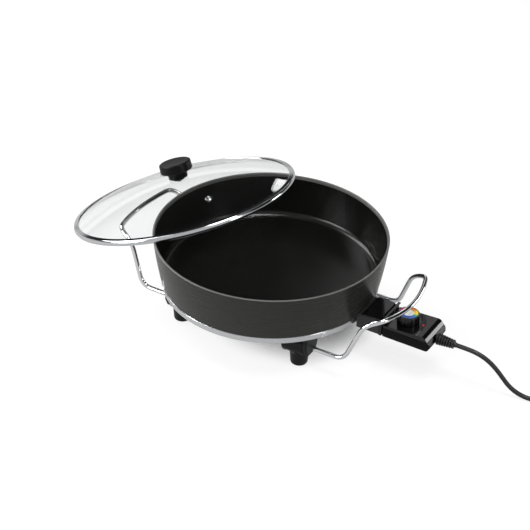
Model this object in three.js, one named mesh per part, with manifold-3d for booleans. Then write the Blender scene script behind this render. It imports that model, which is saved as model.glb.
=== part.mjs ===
// Electric skillet: a deep round non-stick pan on four feet, with two wire handles,
// a pull-out thermostat on a mains cord and a lift-off glass lid that leans on the rim.
// Millimetres, +Z up. The thermostat points along +X from the pan's axis.

import * as THREE from 'three';
import { mergeVertices } from 'three/addons/utils/BufferGeometryUtils.js';
import Module from 'manifold-3d';

const wasm = await Module();
wasm.setup();

// Fits shared by the whole skillet
const seatGap = 0.3; // between pieces that touch
const slipGap = 0.4; // round a piece that slides in or out
const overrun = 6; // how far a cutting shape runs past the face it cuts

// Pan, seen from the side
const rimRadius = 182;
const plugHeight = 66; // the thermostat's pins above the table
const plugDepth = 5.5; // and below the underside of the coated pan
const wallHeight = 75.5; // from there up to the rim
const wallFlare = 12; // how far the wall leans out from its foot to the rim
const wallThickness = 3.2;
const floorThickness = 4.5;
const insideCorner = 11;
const outsideCorner = 3;
const wallBulge = 1.2;
const rimBead = 0.9;
const wallFootRadius = rimRadius - wallFlare;
const wallFootHeight = plugHeight + plugDepth;
const rimHeight = wallFootHeight + wallHeight;

// Machined base under the pan, which holds the heating element
const bandStep = 0.5; // the band's edge lies this far inside the wall's foot
const bandHeight = 9.2;
const bandWidth = 10;
const baseWeb = 4.6;
const bandRadius = wallFootRadius - bandStep;

// Feet stand on a ring inside the band, at one angle to the thermostat's line
const footInset = 31.7;
const footAngle = 39.9; // degrees
const footRing = bandRadius - footInset;
const footSpanX = footRing * Math.cos(THREE.MathUtils.degToRad(footAngle));
const footSpanY = footRing * Math.sin(THREE.MathUtils.degToRad(footAngle));

// Heating element, a tube bent into an open ring
const elementTube = 3.6; // radius
const elementInset = 37.8; // clear of the brackets, from the ring of feet
const elementRing = footRing - elementInset;
const elementBend = 16;
const terminalSpread = 11; // each terminal's distance from the middle
const pinRadius = 2.4;
const pinLength = 25;
const sealRadius = 4.2;
const sealLength = 8;

// Thermostat socket on the pan
const socketWidth = 58;
const socketHeight = 24;
const socketReach = 37; // open mouth, from the band's edge
const socketWall = 2.4;
const socketCorner = 3;
const coverThickness = 2.2;
const coverMargin = 2;
const coverEdge = 0.6;
const socketScrewSpread = 20;
const socketEnd = bandRadius + socketReach;

// Thermostat plug
const collarThickness = 4.5;
const collarRise = 4.5;
const collarLean = 3;
const caseLength = 80;
const caseWidth = 58;
const caseWall = 2.2;
const caseRise = 4; // how much higher the top is at the cord's end
const endSlope = 10.5; // the slope at the cord's end, along the case
const endDrop = 12.5;
const endTuck = 4; // how far that end draws in at the bottom
const sideTuck = 1;
const tuckHeight = 7;
const caseCorner = 3.5;
const probeRadius = 3;
const probeReach = 66; // probe beyond the collar
const sleeveRadius = 3.7;
const sleeveReach = 19;
const sleeveSeat = 7;

// Dial
const dialPlace = 29; // from the case's pan end to the dial's axis
const dialRadius = 17;
const dialHeight = 14;
const dialFlutes = 20;
const fluteDepth = 0.7;
const scaleRadius = 14.6;
const scaleThickness = 0.8;
const shaftRadius = 3;
const shaftDepth = 9;
const switchLength = 26;
const switchWidth = 22;
const switchHeight = 10;
const bimetalWidth = 8;
const bimetalThickness = 1.2;
const lampRadius = 2.6;
const lampHeight = 1.2;
const lampPlace = 54.6;

// Feet, handle brackets and their screws
const footRadius = 15;
const footHeight = 26;
const footTaper = 1.6;
const footRound = 4.8;
const soleRadius = 7;
const soleStand = 1;
const bracketRadius = 13.5; // of the saddle round the rod
const bracketLength = 38;
const bracketRound = 4;
const flangeThickness = 7;
const flangeWidth = 32;
const bracketTopGap = 0.3;
const bracketNeck = 24;
const screwRadius = 2.2;
const screwHead = 4;
const screwHeadHeight = 2.6;

// Wire handles
const rodRadius = 3.2;
const rodHeight = 35;
const rodLead = 21.7; // the leg runs this far in past its foot
const rodKneeInset = 1; // inside the rim
const shoulderReach = 24; // beyond the rim
const shoulderInset = 8.9; // nearer the middle than the leg
const shoulderDrop = 47; // below the rim
const gripCornerReach = 51;
const gripCornerInset = 17.4;
const gripCornerDrop = 33.2;
const gripReach = 64.4;
const gripDrop = 38.4;
const rodBend = 16;
const rodStart = footSpanX - rodLead;

// Lid, in its own frame: middle of the band's lower edge, +Z through the knob
const lidLip = 1.6; // beyond the rim
const lidBandHeight = 8.5;
const lidBandWidth = 9;
const lidBandWall = 0.9;
const glassThickness = 4;
const glassRise = 37;
const lidRadius = rimRadius + lidLip;
const knobRadius = 26.4;
const knobHeight = 15;
const knobDish = 1.2;
const stemRadius = 16.4;
const stemFoot = 15.4;
const stemHeight = 11;
const knobScrewRadius = 2.4;
const washerRadius = 9;
const washerThickness = 1.6;
const ventRadius = 3.2;
const ventPlace = 113.8;
const ventAngle = -0.5515;
const grommetRadius = 6;
const grommetFlange = 1;

// Where the lid leans, half off the pan
const lidOverhang = 9.5; // middle of the lid beyond the rim
const lidSide = 49.3;
const lidTilt = 19.9; // degrees
const lidHeading = 168.6; // degrees, the way the lid's axis leans

// Cord, its strain relief and its plug
const cordRadius = 3.5;
const reliefLength = 33;
const reliefRoot = 7.2;
const reliefTip = 5.2;
const reliefRibs = 7;
const reliefGroove = 1.3;
const coilTurns = 5.25;
const coilRadius = 46; // of the outermost turn's middle line
const coilPitch = 7.7;
const coilLift = 7.6; // from one layer of turns to the next
const coilDip = 1.5; // how far the climb swings inwards
const plugRadius = 18.5;
const plugBody = 30;
const plugNeck = 24;
const plugNeckRadius = 6.5;
const plugWaistRadius = 7.8;
const plugShoulderRadius = 11.5;
const plugPinRadius = 2.4;
const plugPinLength = 19;
const plugPinSpread = 9.5;
const plugLead = 34; // from the last turn to the plug
const climbTurns = 0.5;

// The cord's way over the table, from the end of its strain relief: how far out, and how far aside
const cordRoute = [
  [0, 0], [9.3, 0], [20.3, 0], [31.3, 0.2], [42.3, 0.8], [52.3, 1.8], [61.3, 3], [69.3, 4.4],
  [76.3, 5.8], [83.3, 7.2], [91.3, 8.8], [100.3, 10.6], [110.3, 12.4], [121.3, 14], [132.3, 15.2],
  [142.3, 15.8], [152.3, 16],
];

// Its height at each of those points, as shares of the drop from the relief to the table
const heightShares = [
  1, 1, 0.997, 0.978, 0.925, 0.835, 0.715, 0.574, 0.43, 0.292, 0.171, 0.081, 0.024, 0.004, 0, 0, 0,
];

// Facets
const roundSteps = 48;
const smallSteps = 16;
const discSteps = 32;
const rodSides = 8;
const rodSteps = 54;
const cordSides = 8;
const cordSteps = 30;
const coilSides = 6;
const coilSteps = 24;
const elementSteps = 44;
const boltSteps = 12;

const group = new THREE.Group();

const black = { color: 0x141414, roughness: 0.35, metalness: 0 };
const satin = { color: 0x2b2b2b, roughness: 0.5, metalness: 0.2 };
const coated = { color: 0x121212, roughness: 0.4, metalness: 0.1 };
const alloy = { color: 0xd8d8d8, roughness: 0.3, metalness: 1 };
const chrome = { color: 0xe8e8e8, roughness: 0.1, metalness: 1 };
const steel = { color: 0xb9bbbd, roughness: 0.3, metalness: 1 };
const brass = { color: 0xc8a75a, roughness: 0.35, metalness: 1 };
const rubber = { color: 0x1a1a1a, roughness: 0.8, metalness: 0 };
const glass = { color: 0xe6efee, roughness: 0.05, metalness: 0 };
const red = { color: 0xb01c1c, roughness: 0.3, metalness: 0 };
const pale = { color: 0xe9e9e4, roughness: 0.5, metalness: 0 };

function add(name, geometry, finish, parent = group) {
  const mesh = new THREE.Mesh(geometry, new THREE.MeshStandardMaterial(finish));
  mesh.name = name;
  parent.add(mesh);
  return mesh;
}

// Solids: a closed mesh as a solid that can be cut, and back again

function solid(geometry) {
  const bare = geometry.clone();
  bare.deleteAttribute('normal');
  bare.deleteAttribute('uv');
  const merged = mergeVertices(bare, 1e-4);
  return new wasm.Manifold(new wasm.Mesh({
    numProp: 3,
    vertProperties: new Float32Array(merged.attributes.position.array),
    triVerts: new Uint32Array(merged.index.array),
  }));
}

function surface(body) {
  const mesh = body.getMesh();
  const geometry = new THREE.BufferGeometry();
  geometry.setAttribute('position', new THREE.BufferAttribute(mesh.vertProperties, 3));
  geometry.setIndex(new THREE.BufferAttribute(mesh.triVerts, 1));
  geometry.computeVertexNormals();
  return geometry;
}

function cut(geometry, ...tools) {
  return surface(tools.reduce((body, tool) => body.subtract(solid(tool)), solid(geometry)));
}

function join(...pieces) {
  return surface(pieces.map(solid).reduce((body, piece) => body.add(piece)));
}

// Shapes

// A profile of [radius, height] pairs turned about the Z axis.
function turned(profile, steps = roundSteps) {
  const area = profile.reduce((sum, [r, z], i) => {
    const [r2, z2] = profile[(i + 1) % profile.length];
    return sum + r * z2 - r2 * z;
  }, 0);
  const points = profile.map(([r, z]) => new THREE.Vector2(r, z));
  if (area < 0) points.reverse();
  const onAxis = points.findIndex((p) => p.x === 0);
  if (onAxis < 0) {
    points.push(points[0].clone());
  } else {
    while (points[0].x !== 0 || points[points.length - 1].x !== 0) points.push(points.shift());
  }
  return new THREE.LatheGeometry(points, steps).rotateX(Math.PI / 2);
}

// An arc of [radius, height] points, from one angle to another in degrees.
function arc(r, z, radius, from, to, steps = 4) {
  const points = [];
  for (let i = 0; i <= steps; i += 1) {
    const angle = THREE.MathUtils.degToRad(from + (to - from) * i / steps);
    points.push([r + radius * Math.cos(angle), z + radius * Math.sin(angle)]);
  }
  return points;
}

function disc(radius, bottom, top, steps = smallSteps) {
  return turned([[0, bottom], [radius, bottom], [radius, top], [0, top]], steps);
}

// A bar of round section along +X, from one x to another.
function barX(radius, from, to, y, z, steps = smallSteps) {
  return disc(radius, from, to, steps).rotateY(Math.PI / 2).translate(0, y, z);
}

function roundedOutline(x0, x1, y0, y1, corner, cornerSteps) {
  const points = [];
  const centres = [[x1 - corner, y1 - corner], [x0 + corner, y1 - corner],
    [x0 + corner, y0 + corner], [x1 - corner, y0 + corner]];
  centres.forEach(([x, y], quarter) => {
    for (let i = 0; i <= cornerSteps; i += 1) {
      const angle = (quarter + i / cornerSteps) * Math.PI / 2;
      points.push([x + corner * Math.cos(angle), y + corner * Math.sin(angle)]);
    }
  });
  return points;
}

// A stack of rounded rectangles, lofted upwards: each level is [z, x0, x1, y0, y1, corner].
function lofted(levels, cornerSteps = 3) {
  const rings = levels.map(([z, x0, x1, y0, y1, corner]) => (
    roundedOutline(x0, x1, y0, y1, corner, cornerSteps).map(([x, y]) => [x, y, z])));
  const count = rings[0].length;
  const positions = rings.flat(2);
  const index = [];
  for (let ring = 0; ring < rings.length - 1; ring += 1) {
    for (let i = 0; i < count; i += 1) {
      const a = ring * count + i;
      const b = ring * count + (i + 1) % count;
      index.push(a, b, b + count, a, b + count, a + count);
    }
  }
  const last = (rings.length - 1) * count;
  for (let i = 1; i < count - 1; i += 1) {
    index.push(0, i + 1, i);
    index.push(last, last + i, last + i + 1);
  }
  const geometry = new THREE.BufferGeometry();
  geometry.setAttribute('position', new THREE.Float32BufferAttribute(positions, 3));
  geometry.setIndex(index);
  geometry.computeVertexNormals();
  return geometry;
}

function roundSection(radius, sides) {
  const section = new THREE.Shape();
  for (let i = 0; i < sides; i += 1) {
    const angle = 2 * Math.PI * i / sides;
    const x = radius * Math.cos(angle);
    const y = radius * Math.sin(angle);
    if (i === 0) section.moveTo(x, y);
    else section.lineTo(x, y);
  }
  return section;
}

function tube(path, radius, sides, steps) {
  return new THREE.ExtrudeGeometry(roundSection(radius, sides), { extrudePath: path, steps });
}

const bendShare = 0.48; // of a straight run, the most that a bend takes from either end

// A bent wire: straight runs between corners, each corner rounded off.
function bentPath(corners, bend) {
  const path = new THREE.CurvePath();
  let from = corners[0];
  for (let i = 1; i < corners.length - 1; i += 1) {
    const corner = corners[i];
    const before = corner.clone().sub(corners[i - 1]);
    const after = corners[i + 1].clone().sub(corner);
    const reach = Math.min(bend, before.length() * bendShare, after.length() * bendShare);
    const start = corner.clone().addScaledVector(before.normalize(), -reach);
    const end = corner.clone().addScaledVector(after.normalize(), reach);
    path.add(new THREE.LineCurve3(from, start));
    path.add(new THREE.QuadraticBezierCurve3(start, corner, end));
    from = end;
  }
  path.add(new THREE.LineCurve3(from, corners[corners.length - 1]));
  return path;
}

// Pan: a cast bowl with a straight flared wall, a round inside corner and a thin rim

const panFloor = wallFootHeight + floorThickness;
const wallShares = [0.1, 0.4, 0.7]; // where the bulged wall has its facets, up its height
const cornerShare = 0.3; // of a rounded corner's size, at the middle of its arc

function wallRadius(height) {
  const share = (height - wallFootHeight) / (rimHeight - wallFootHeight);
  return wallFootRadius + (rimRadius - wallFootRadius) * share
    + 4 * wallBulge * share * (1 - share);
}

function makePan() {
  const inside = (height) => wallRadius(height) - wallThickness;
  const bowlTop = rimHeight - rimBead;
  const outer = wallShares.map((share) => {
    const height = wallFootHeight + share * (rimHeight - wallFootHeight);
    return [wallRadius(height), height];
  });
  const inner = wallShares.slice(1).reverse().map((share) => {
    const height = wallFootHeight + share * (rimHeight - wallFootHeight);
    return [inside(height), height];
  });
  const cornerTop = panFloor + insideCorner;
  const cornerRadius = inside(cornerTop) - insideCorner;
  return turned([
    [0, wallFootHeight],
    [wallFootRadius - outsideCorner, wallFootHeight],
    [wallFootRadius - outsideCorner * cornerShare, wallFootHeight + outsideCorner * cornerShare],
    ...outer,
    [rimRadius, bowlTop],
    [rimRadius - rimBead, rimHeight],
    [rimRadius - wallThickness + rimBead, rimHeight],
    [inside(bowlTop), bowlTop],
    ...inner,
    ...arc(cornerRadius, cornerTop, insideCorner, 0, -90),
    [0, panFloor],
  ]);
}

add('pan_body', makePan(), coated);

// Base: a machined disc with a bright band, a groove for the element and a bore for the probe

const baseTop = wallFootHeight - seatGap;
const baseBottom = baseTop - bandHeight;
const recess = baseTop - baseWeb;
const elementLevel = plugHeight;
const collarPlane = socketEnd + seatGap;
const probeTip = collarPlane - probeReach;
const sealStart = bandRadius + seatGap;

function elementPath() {
  const open = terminalSpread + elementBend;
  const startAngle = Math.asin(open / elementRing);
  const path = new THREE.CurvePath();
  const ringX = Math.sqrt(elementRing ** 2 - open ** 2);
  const legX = ringX + elementBend;
  const points = [];
  for (let i = 0; i <= elementSteps; i += 1) {
    const angle = startAngle + (2 * Math.PI - 2 * startAngle) * i / elementSteps;
    const x = elementRing * Math.cos(angle);
    const y = elementRing * Math.sin(angle);
    points.push(new THREE.Vector3(x, y, elementLevel));
  }
  const first = points[0];
  const last = points[points.length - 1];
  const legIn = new THREE.Vector3(legX, terminalSpread, elementLevel);
  const legOut = new THREE.Vector3(legX, -terminalSpread, elementLevel);
  const legEnd = new THREE.Vector3(sealStart, terminalSpread, elementLevel);
  const legStart = new THREE.Vector3(sealStart, -terminalSpread, elementLevel);
  const knee = new THREE.Vector3(ringX, terminalSpread, elementLevel);
  const kneeOut = new THREE.Vector3(ringX, -terminalSpread, elementLevel);
  path.add(new THREE.LineCurve3(legEnd, legIn));
  path.add(new THREE.QuadraticBezierCurve3(legIn, knee, first));
  path.add(new THREE.CatmullRomCurve3(points));
  path.add(new THREE.QuadraticBezierCurve3(last, kneeOut, legOut));
  path.add(new THREE.LineCurve3(legOut, legStart));
  return path;
}

function makeBase() {
  const disk = turned([
    [0, recess],
    [bandRadius - bandWidth, recess],
    [bandRadius - bandWidth, baseBottom],
    [bandRadius, baseBottom],
    [bandRadius, baseTop],
    [0, baseTop],
  ]);
  const bossHalf = probeRadius + slipGap + socketWall;
  const bossEnd = bandRadius - bandWidth + overrun;
  const boss = lofted([plugHeight - bossHalf, recess + baseWeb / 2].map((z) => (
    [z, probeTip - bossHalf, bossEnd, -bossHalf, bossHalf, socketWall])));
  const grooveRadius = elementTube + seatGap;
  const bore = barX(probeRadius + slipGap, probeTip - slipGap, bandRadius + overrun, 0, plugHeight);
  const groove = tube(elementPath(), grooveRadius, rodSides, elementSteps);
  const exits = [-1, 1].map((side) => (
    barX(grooveRadius, elementRing, bandRadius + overrun, side * terminalSpread, elementLevel, rodSides)));
  return cut(join(disk, boss), bore, groove, ...exits);
}

add('base_plate', makeBase(), alloy);
add('heating_element', tube(elementPath(), elementTube, rodSides, elementSteps), steel);

for (const [name, side] of [['terminal_pin_near', -1], ['terminal_pin_far', 1]]) {
  const sealEnd = sealStart + seatGap + sealLength;
  const pin = turned([
    [0, sealStart + seatGap],
    [sealRadius, sealStart + seatGap],
    [sealRadius, sealEnd],
    [pinRadius, sealEnd],
    [pinRadius, sealEnd + pinLength - pinRadius / 2],
    [pinRadius / 2, sealEnd + pinLength],
    [0, sealEnd + pinLength],
  ], smallSteps);
  add(name, pin.rotateY(Math.PI / 2).translate(0, side * terminalSpread, plugHeight), steel);
}

// Socket: an open-mouthed housing round the pins, with a glossy cover on top

const socketTop = plugHeight + socketHeight / 2;
const socketBottom = plugHeight - socketHeight / 2;
const socketBack = bandRadius - overrun;
const housingBackGap = wallRadius(socketTop) + seatGap;

function makeSocket() {
  const half = socketWidth / 2;
  // The outline is drawn across Y and Z, then laid along X.
  const outer = lofted([socketBack, socketEnd].map((x) => (
    [x, -socketHeight / 2, socketHeight / 2, -half, half, socketCorner])))
    .rotateY(Math.PI / 2).translate(0, 0, plugHeight);
  const wallEnd = sealStart + socketWall + overrun;
  const innerHalf = half - socketWall;
  const innerHeight = socketHeight / 2 - socketWall;
  const hollow = lofted([wallEnd, socketEnd + overrun].map((x) => (
    [x, -innerHeight, innerHeight, -innerHalf, innerHalf, socketCorner - socketWall / 2])))
    .rotateY(Math.PI / 2).translate(0, 0, plugHeight);
  const holeEnd = wallEnd + overrun;
  const panSide = disc(housingBackGap, socketBottom - overrun, socketTop + overrun, roundSteps * 2);
  const holes = [-1, 1].map((side) => (
    barX(sealRadius + seatGap, bandRadius, holeEnd, side * terminalSpread, plugHeight)));
  const probeHole = barX(probeRadius + slipGap, bandRadius, holeEnd, 0, plugHeight);
  const screws = [-1, 1].map((side) => (
    barX(screwRadius + seatGap, bandRadius, holeEnd, side * socketScrewSpread, plugHeight, boltSteps)));
  return cut(outer, hollow, panSide, ...holes, probeHole, ...screws);
}

add('socket_housing', makeSocket(), satin);

const coverStart = housingBackGap + coverMargin * 2;

function coverLevel(height, inset) {
  const half = socketWidth / 2 - coverMargin - inset;
  return [socketTop + seatGap + height, coverStart + inset, socketEnd - inset, -half, half, socketCorner];
}

add('socket_cover', lofted([
  coverLevel(0, 0),
  coverLevel(coverThickness - coverEdge, 0),
  coverLevel(coverThickness, coverEdge),
]), black);

const headShare = 0.7; // of a screw's head, where its rounding starts

// A screw along +Z with its head up, from the tip of its thread.
function screw(length, radius = screwRadius, head = screwHead, headHeight = screwHeadHeight) {
  return turned([
    [0, 0],
    [radius, 0],
    [radius, length],
    [head, length],
    [head, length + headHeight * headShare],
    [head * headShare, length + headHeight],
    [0, length + headHeight],
  ], boltSteps);
}

for (const [name, side] of [['socket_screw_near', -1], ['socket_screw_far', 1]]) {
  const seat = sealStart + socketWall + overrun + seatGap;
  const reach = seat - bandRadius - seatGap;
  add(name, screw(reach).rotateY(Math.PI / 2)
    .translate(seat - reach, side * socketScrewSpread, plugHeight), steel);
}

// Thermostat: a two-part case behind an upright collar that closes the socket's mouth

const collarStart = collarPlane;
const caseStart = collarStart + collarThickness + seatGap;
const caseEnd = caseStart + caseLength;
const caseHalf = caseWidth / 2;
const caseTop = socketTop;
const caseBottom = socketBottom;
const splitHeight = plugHeight + sleeveRadius + seatGap * 2;

// The collar leans out over the socket like a finger grip.
function makeCollar() {
  const profile = new THREE.Shape();
  const grip = caseTop + collarRise;
  profile.moveTo(collarStart, caseBottom);
  profile.lineTo(collarStart + collarThickness, caseBottom);
  profile.lineTo(collarStart + collarThickness, caseTop);
  profile.lineTo(collarStart + collarThickness + collarLean, grip);
  profile.lineTo(collarStart + collarLean, grip);
  profile.lineTo(collarStart, caseTop);
  profile.closePath();
  const plate = new THREE.ExtrudeGeometry(profile, { depth: socketWidth, bevelEnabled: false })
    .rotateX(Math.PI / 2).translate(0, socketWidth / 2, 0);
  const sleeves = [-1, 1].map((side) => (
    barX(sleeveRadius + seatGap, collarStart - overrun, collarStart + overrun * 2,
      side * terminalSpread, plugHeight)));
  const probe = barX(probeRadius + seatGap, collarStart - overrun, collarStart + overrun * 2, 0, plugHeight);
  return cut(plate, ...sleeves, probe);
}

add('thermostat_collar', makeCollar(), black);

const shaftX = caseStart + dialPlace;
const lampX = caseStart + lampPlace;
const slopeStart = caseEnd - endSlope;
const reliefHole = reliefRoot - reliefGroove;

// The top of the case at a distance from the pan's axis, before the slope at the end.
function caseTopAt(x) {
  return caseTop - caseRise * (slopeStart - x) / (slopeStart - caseStart);
}

// Everything above the case: its top climbs towards the cord, then slopes down at the end.
function aboveCase(depth) {
  const from = caseStart - overrun;
  const to = caseEnd + overrun;
  const ridge = slopeStart - depth;
  const profile = new THREE.Shape();
  profile.moveTo(from, caseTopAt(from) - depth);
  profile.lineTo(ridge, caseTop - depth);
  profile.lineTo(to - depth, caseTop - depth - endDrop * (to - slopeStart) / endSlope);
  profile.lineTo(to + overrun, caseTop + overrun);
  profile.lineTo(from, caseTop + overrun);
  profile.closePath();
  return new THREE.ExtrudeGeometry(profile, { depth: caseWidth + overrun * 2, bevelEnabled: false })
    .rotateX(Math.PI / 2).translate(0, caseHalf + overrun, 0);
}

// A level of the case, drawn in by some wall, by a tuck at the sides and by a tuck at the end.
function caseLevel(z, wall, sides = 0, end = 0) {
  const half = caseHalf - wall - sides;
  return [z, caseStart + wall, caseEnd - wall - end, -half, half, Math.max(caseCorner - wall, coverEdge)];
}

function makeUpperCase() {
  const bottom = splitHeight + seatGap / 2;
  const outer = cut(lofted([caseLevel(bottom, 0), caseLevel(caseTop + overrun / 2, 0)]), aboveCase(0));
  const inner = cut(lofted([
    caseLevel(splitHeight - overrun, caseWall),
    caseLevel(caseTop, caseWall),
  ]), aboveCase(caseWall));
  const shaftHole = disc(shaftRadius + seatGap, caseTop - overrun * 2, caseTop + overrun);
  const lampHole = disc(lampRadius + seatGap, caseTop - overrun * 2, caseTop + overrun);
  return cut(outer, inner, shaftHole.translate(shaftX, 0, 0), lampHole.translate(lampX, 0, 0));
}

function makeLowerCase() {
  const tuckTop = caseBottom + tuckHeight;
  const top = splitHeight - seatGap / 2;
  const outer = cut(lofted([
    caseLevel(caseBottom, 0, sideTuck, endTuck),
    caseLevel(tuckTop, 0),
    caseLevel(top, 0),
  ]), aboveCase(0));
  const inner = cut(lofted([
    caseLevel(caseBottom + caseWall, caseWall, sideTuck, endTuck),
    caseLevel(tuckTop + caseWall, caseWall),
    caseLevel(splitHeight + overrun, caseWall),
  ]), aboveCase(caseWall));
  const holeStart = caseStart - overrun;
  const holeEnd = caseStart + caseWall + overrun;
  const sleeves = [-1, 1].map((side) => (
    barX(sleeveRadius + seatGap, holeStart, holeEnd, side * terminalSpread, plugHeight)));
  const probe = barX(probeRadius + seatGap, holeStart, holeEnd, 0, plugHeight);
  const cordHole = barX(reliefHole + seatGap, caseEnd - endSlope, caseEnd + overrun, 0, reliefLevel);
  return cut(outer, inner, ...sleeves, probe, cordHole);
}

const reliefLevel = splitHeight - reliefHole - seatGap * 4;

add('thermostat_upper_case', makeUpperCase(), black);
add('thermostat_lower_case', makeLowerCase(), black);

const switchStart = shaftX - switchLength / 2;
const innerFloor = caseBottom + caseWall + seatGap;
const partStop = switchStart - seatGap;

function makeSwitch() {
  const block = lofted([
    [innerFloor, switchStart, switchStart + switchLength, -switchWidth / 2, switchWidth / 2, caseWall],
    [innerFloor + switchHeight, switchStart, switchStart + switchLength,
      -switchWidth / 2, switchWidth / 2, caseWall],
  ]);
  const bore = disc(shaftRadius + slipGap, innerFloor + caseWall, innerFloor + switchHeight + overrun)
    .translate(shaftX, 0, 0);
  return cut(block, bore);
}

add('switch_block', makeSwitch(), rubber);

const shaftFoot = innerFloor + caseWall + seatGap;

add('bimetal_strip', lofted([
  [innerFloor + switchHeight + seatGap, switchStart, shaftX - shaftRadius - slipGap,
    -bimetalWidth / 2, bimetalWidth / 2, bimetalThickness],
  [innerFloor + switchHeight + seatGap + bimetalThickness, switchStart, shaftX - shaftRadius - slipGap,
    -bimetalWidth / 2, bimetalWidth / 2, bimetalThickness],
]), brass);

function makeProbe() {
  const rod = turned([
    [0, probeTip],
    [probeRadius / 2, probeTip],
    [probeRadius, probeTip + probeRadius / 2],
    [probeRadius, partStop],
    [0, partStop],
  ], smallSteps);
  return rod.rotateY(Math.PI / 2).translate(0, 0, plugHeight);
}

add('probe_rod', makeProbe(), steel);

const sleeveStart = collarStart - sleeveReach;
for (const [name, side] of [['contact_sleeve_near', -1], ['contact_sleeve_far', 1]]) {
  const sleeve = cut(
    barX(sleeveRadius, sleeveStart, caseStart + caseWall + sleeveSeat, 0, 0),
    barX(pinRadius + slipGap, sleeveStart - overrun, caseStart + seatGap, 0, 0),
  );
  add(name, sleeve.translate(0, side * terminalSpread, plugHeight), brass);
}

const lampSeat = caseTopAt(lampX);

// The lamp's lens is a short cylinder with a domed end.
add('pilot_lamp', turned([
  [0, lampSeat - caseWall],
  [lampRadius, lampSeat - caseWall],
  [lampRadius, lampSeat + lampHeight / 2],
  [lampRadius * headShare, lampSeat + lampHeight],
  [0, lampSeat + lampHeight],
], smallSteps).translate(lampX, 0, 0), red);

// Dial: a fluted knob on a shaft, with a coloured scale let into its top

const dialBottom = caseTopAt(shaftX + dialRadius) + seatGap;
const dialTop = dialBottom + dialHeight;

function flutedOutline(radius) {
  const shape = new THREE.Shape();
  const steps = dialFlutes * 4;
  for (let i = 0; i < steps; i += 1) {
    const angle = 2 * Math.PI * i / steps;
    const r = i % 4 < 2 ? radius : radius - fluteDepth;
    const x = r * Math.cos(angle);
    const y = r * Math.sin(angle);
    if (i === 0) shape.moveTo(x, y);
    else shape.lineTo(x, y);
  }
  return shape;
}

function makeDial() {
  const skirtHeight = dialHeight - fluteDepth;
  const outline = flutedOutline(dialRadius);
  const skirt = new THREE.ExtrudeGeometry(outline, { depth: skirtHeight, bevelEnabled: false })
    .translate(0, 0, dialBottom);
  const crown = disc(dialRadius - fluteDepth, dialTop - fluteDepth * 2, dialTop, discSteps);
  const pocketFloor = dialTop - scaleThickness - seatGap;
  const pocket = disc(scaleRadius + seatGap, pocketFloor, dialTop + overrun, discSteps);
  const bore = disc(shaftRadius + seatGap, dialBottom - overrun, dialBottom + shaftDepth);
  return cut(join(skirt, crown), pocket, bore).translate(shaftX, 0, 0);
}

add('dial', makeDial(), black);
add('dial_scale', disc(scaleRadius, dialTop - scaleThickness, dialTop, discSteps)
  .translate(shaftX, 0, 0), pale);
add('dial_shaft', disc(shaftRadius, shaftFoot, dialBottom + shaftDepth - seatGap)
  .translate(shaftX, 0, 0), brass);

// Feet: a round foot under a saddle that clamps the handle's leg; a flange stands at its outer end

const bracketTop = recess - bracketTopGap;
const footTop = footHeight;
const bracketStart = rodStart - seatGap - socketWall;

function makeFoot() {
  return turned([
    [0, soleStand],
    [soleRadius + seatGap, soleStand],
    [soleRadius + seatGap, seatGap],
    ...arc(footRadius - footTaper - footRound, footRound + seatGap, footRound, -90, 0, 3),
    [footRadius, footTop],
    [0, footTop],
  ], smallSteps);
}

const neckShare = 0.6; // the neck's width, of the saddle's
const flangeFootShare = 0.68; // the flange's width at the foot, of its full width

function makeBracket() {
  const length = bracketLength - flangeThickness;
  const saddle = turned([
    [0, 0],
    [bracketRadius - bracketRound, 0],
    [bracketRadius - bracketRound * cornerShare, bracketRound * cornerShare],
    [bracketRadius, bracketRound],
    [bracketRadius, length + flangeThickness / 2],
    [0, length + flangeThickness / 2],
  ], smallSteps).rotateY(Math.PI / 2).translate(0, 0, rodHeight);
  const neckHalf = bracketRadius * neckShare;
  const neck = lofted([rodHeight, bracketTop].map((z) => (
    [z, seatGap, bracketNeck, -neckHalf, neckHalf, socketCorner])));
  const flangeLevels = [
    [footTop + seatGap, flangeWidth * flangeFootShare / 2],
    [rodHeight + rodRadius, flangeWidth / 2],
    [bracketTop, flangeWidth / 2],
  ];
  const flange = lofted(flangeLevels.map(([z, half]) => [z, length, bracketLength, -half, half, socketWall]));
  const boreStart = rodStart - bracketStart - seatGap;
  const rodBore = barX(rodRadius + seatGap, boreStart, bracketLength + overrun, 0, rodHeight, boltSteps);
  const footCut = disc(footRadius + overrun, -overrun, footTop + seatGap);
  const holeFoot = rodHeight + rodRadius + socketWall * 2;
  const screwHole = disc(screwRadius + seatGap, holeFoot, bracketTop + overrun, boltSteps);
  return cut(join(saddle, neck, flange), rodBore,
    footCut.translate(footSpanX - bracketStart, 0, 0), screwHole.translate(bracketNeck / 2, 0, 0));
}

const screwTip = rodHeight + rodRadius + socketWall * 2 + seatGap;

for (const [end, sideX] of [['left', -1], ['right', 1]]) {
  for (const [row, sideY] of [['front', -1], ['rear', 1]]) {
    const corner = new THREE.Group();
    corner.position.set(0, sideY * footSpanY, 0);
    corner.rotation.z = sideX > 0 ? 0 : Math.PI;
    group.add(corner);
    const bracket = add(`foot_bracket_${end}_${row}`, makeBracket(), black, corner);
    bracket.position.x = bracketStart;
    const foot = add(`foot_${end}_${row}`, makeFoot(), black, corner);
    foot.position.x = footSpanX;
    const sole = add(`foot_sole_${end}_${row}`, disc(soleRadius, 0, soleStand - seatGap), rubber, corner);
    sole.position.x = footSpanX;
    const stud = add(`bracket_stud_${end}_${row}`,
      disc(screwRadius, screwTip, bracketTop + bracketTopGap - seatGap, boltSteps), steel, corner);
    stud.position.x = bracketStart + bracketNeck / 2;
  }
}

// Handles: one bent rod a side, level legs, a knee up the wall and a bowed grip

const gripShares = [1, 0.66, 0.33]; // along the bowed grip, from its corner to its middle

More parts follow.
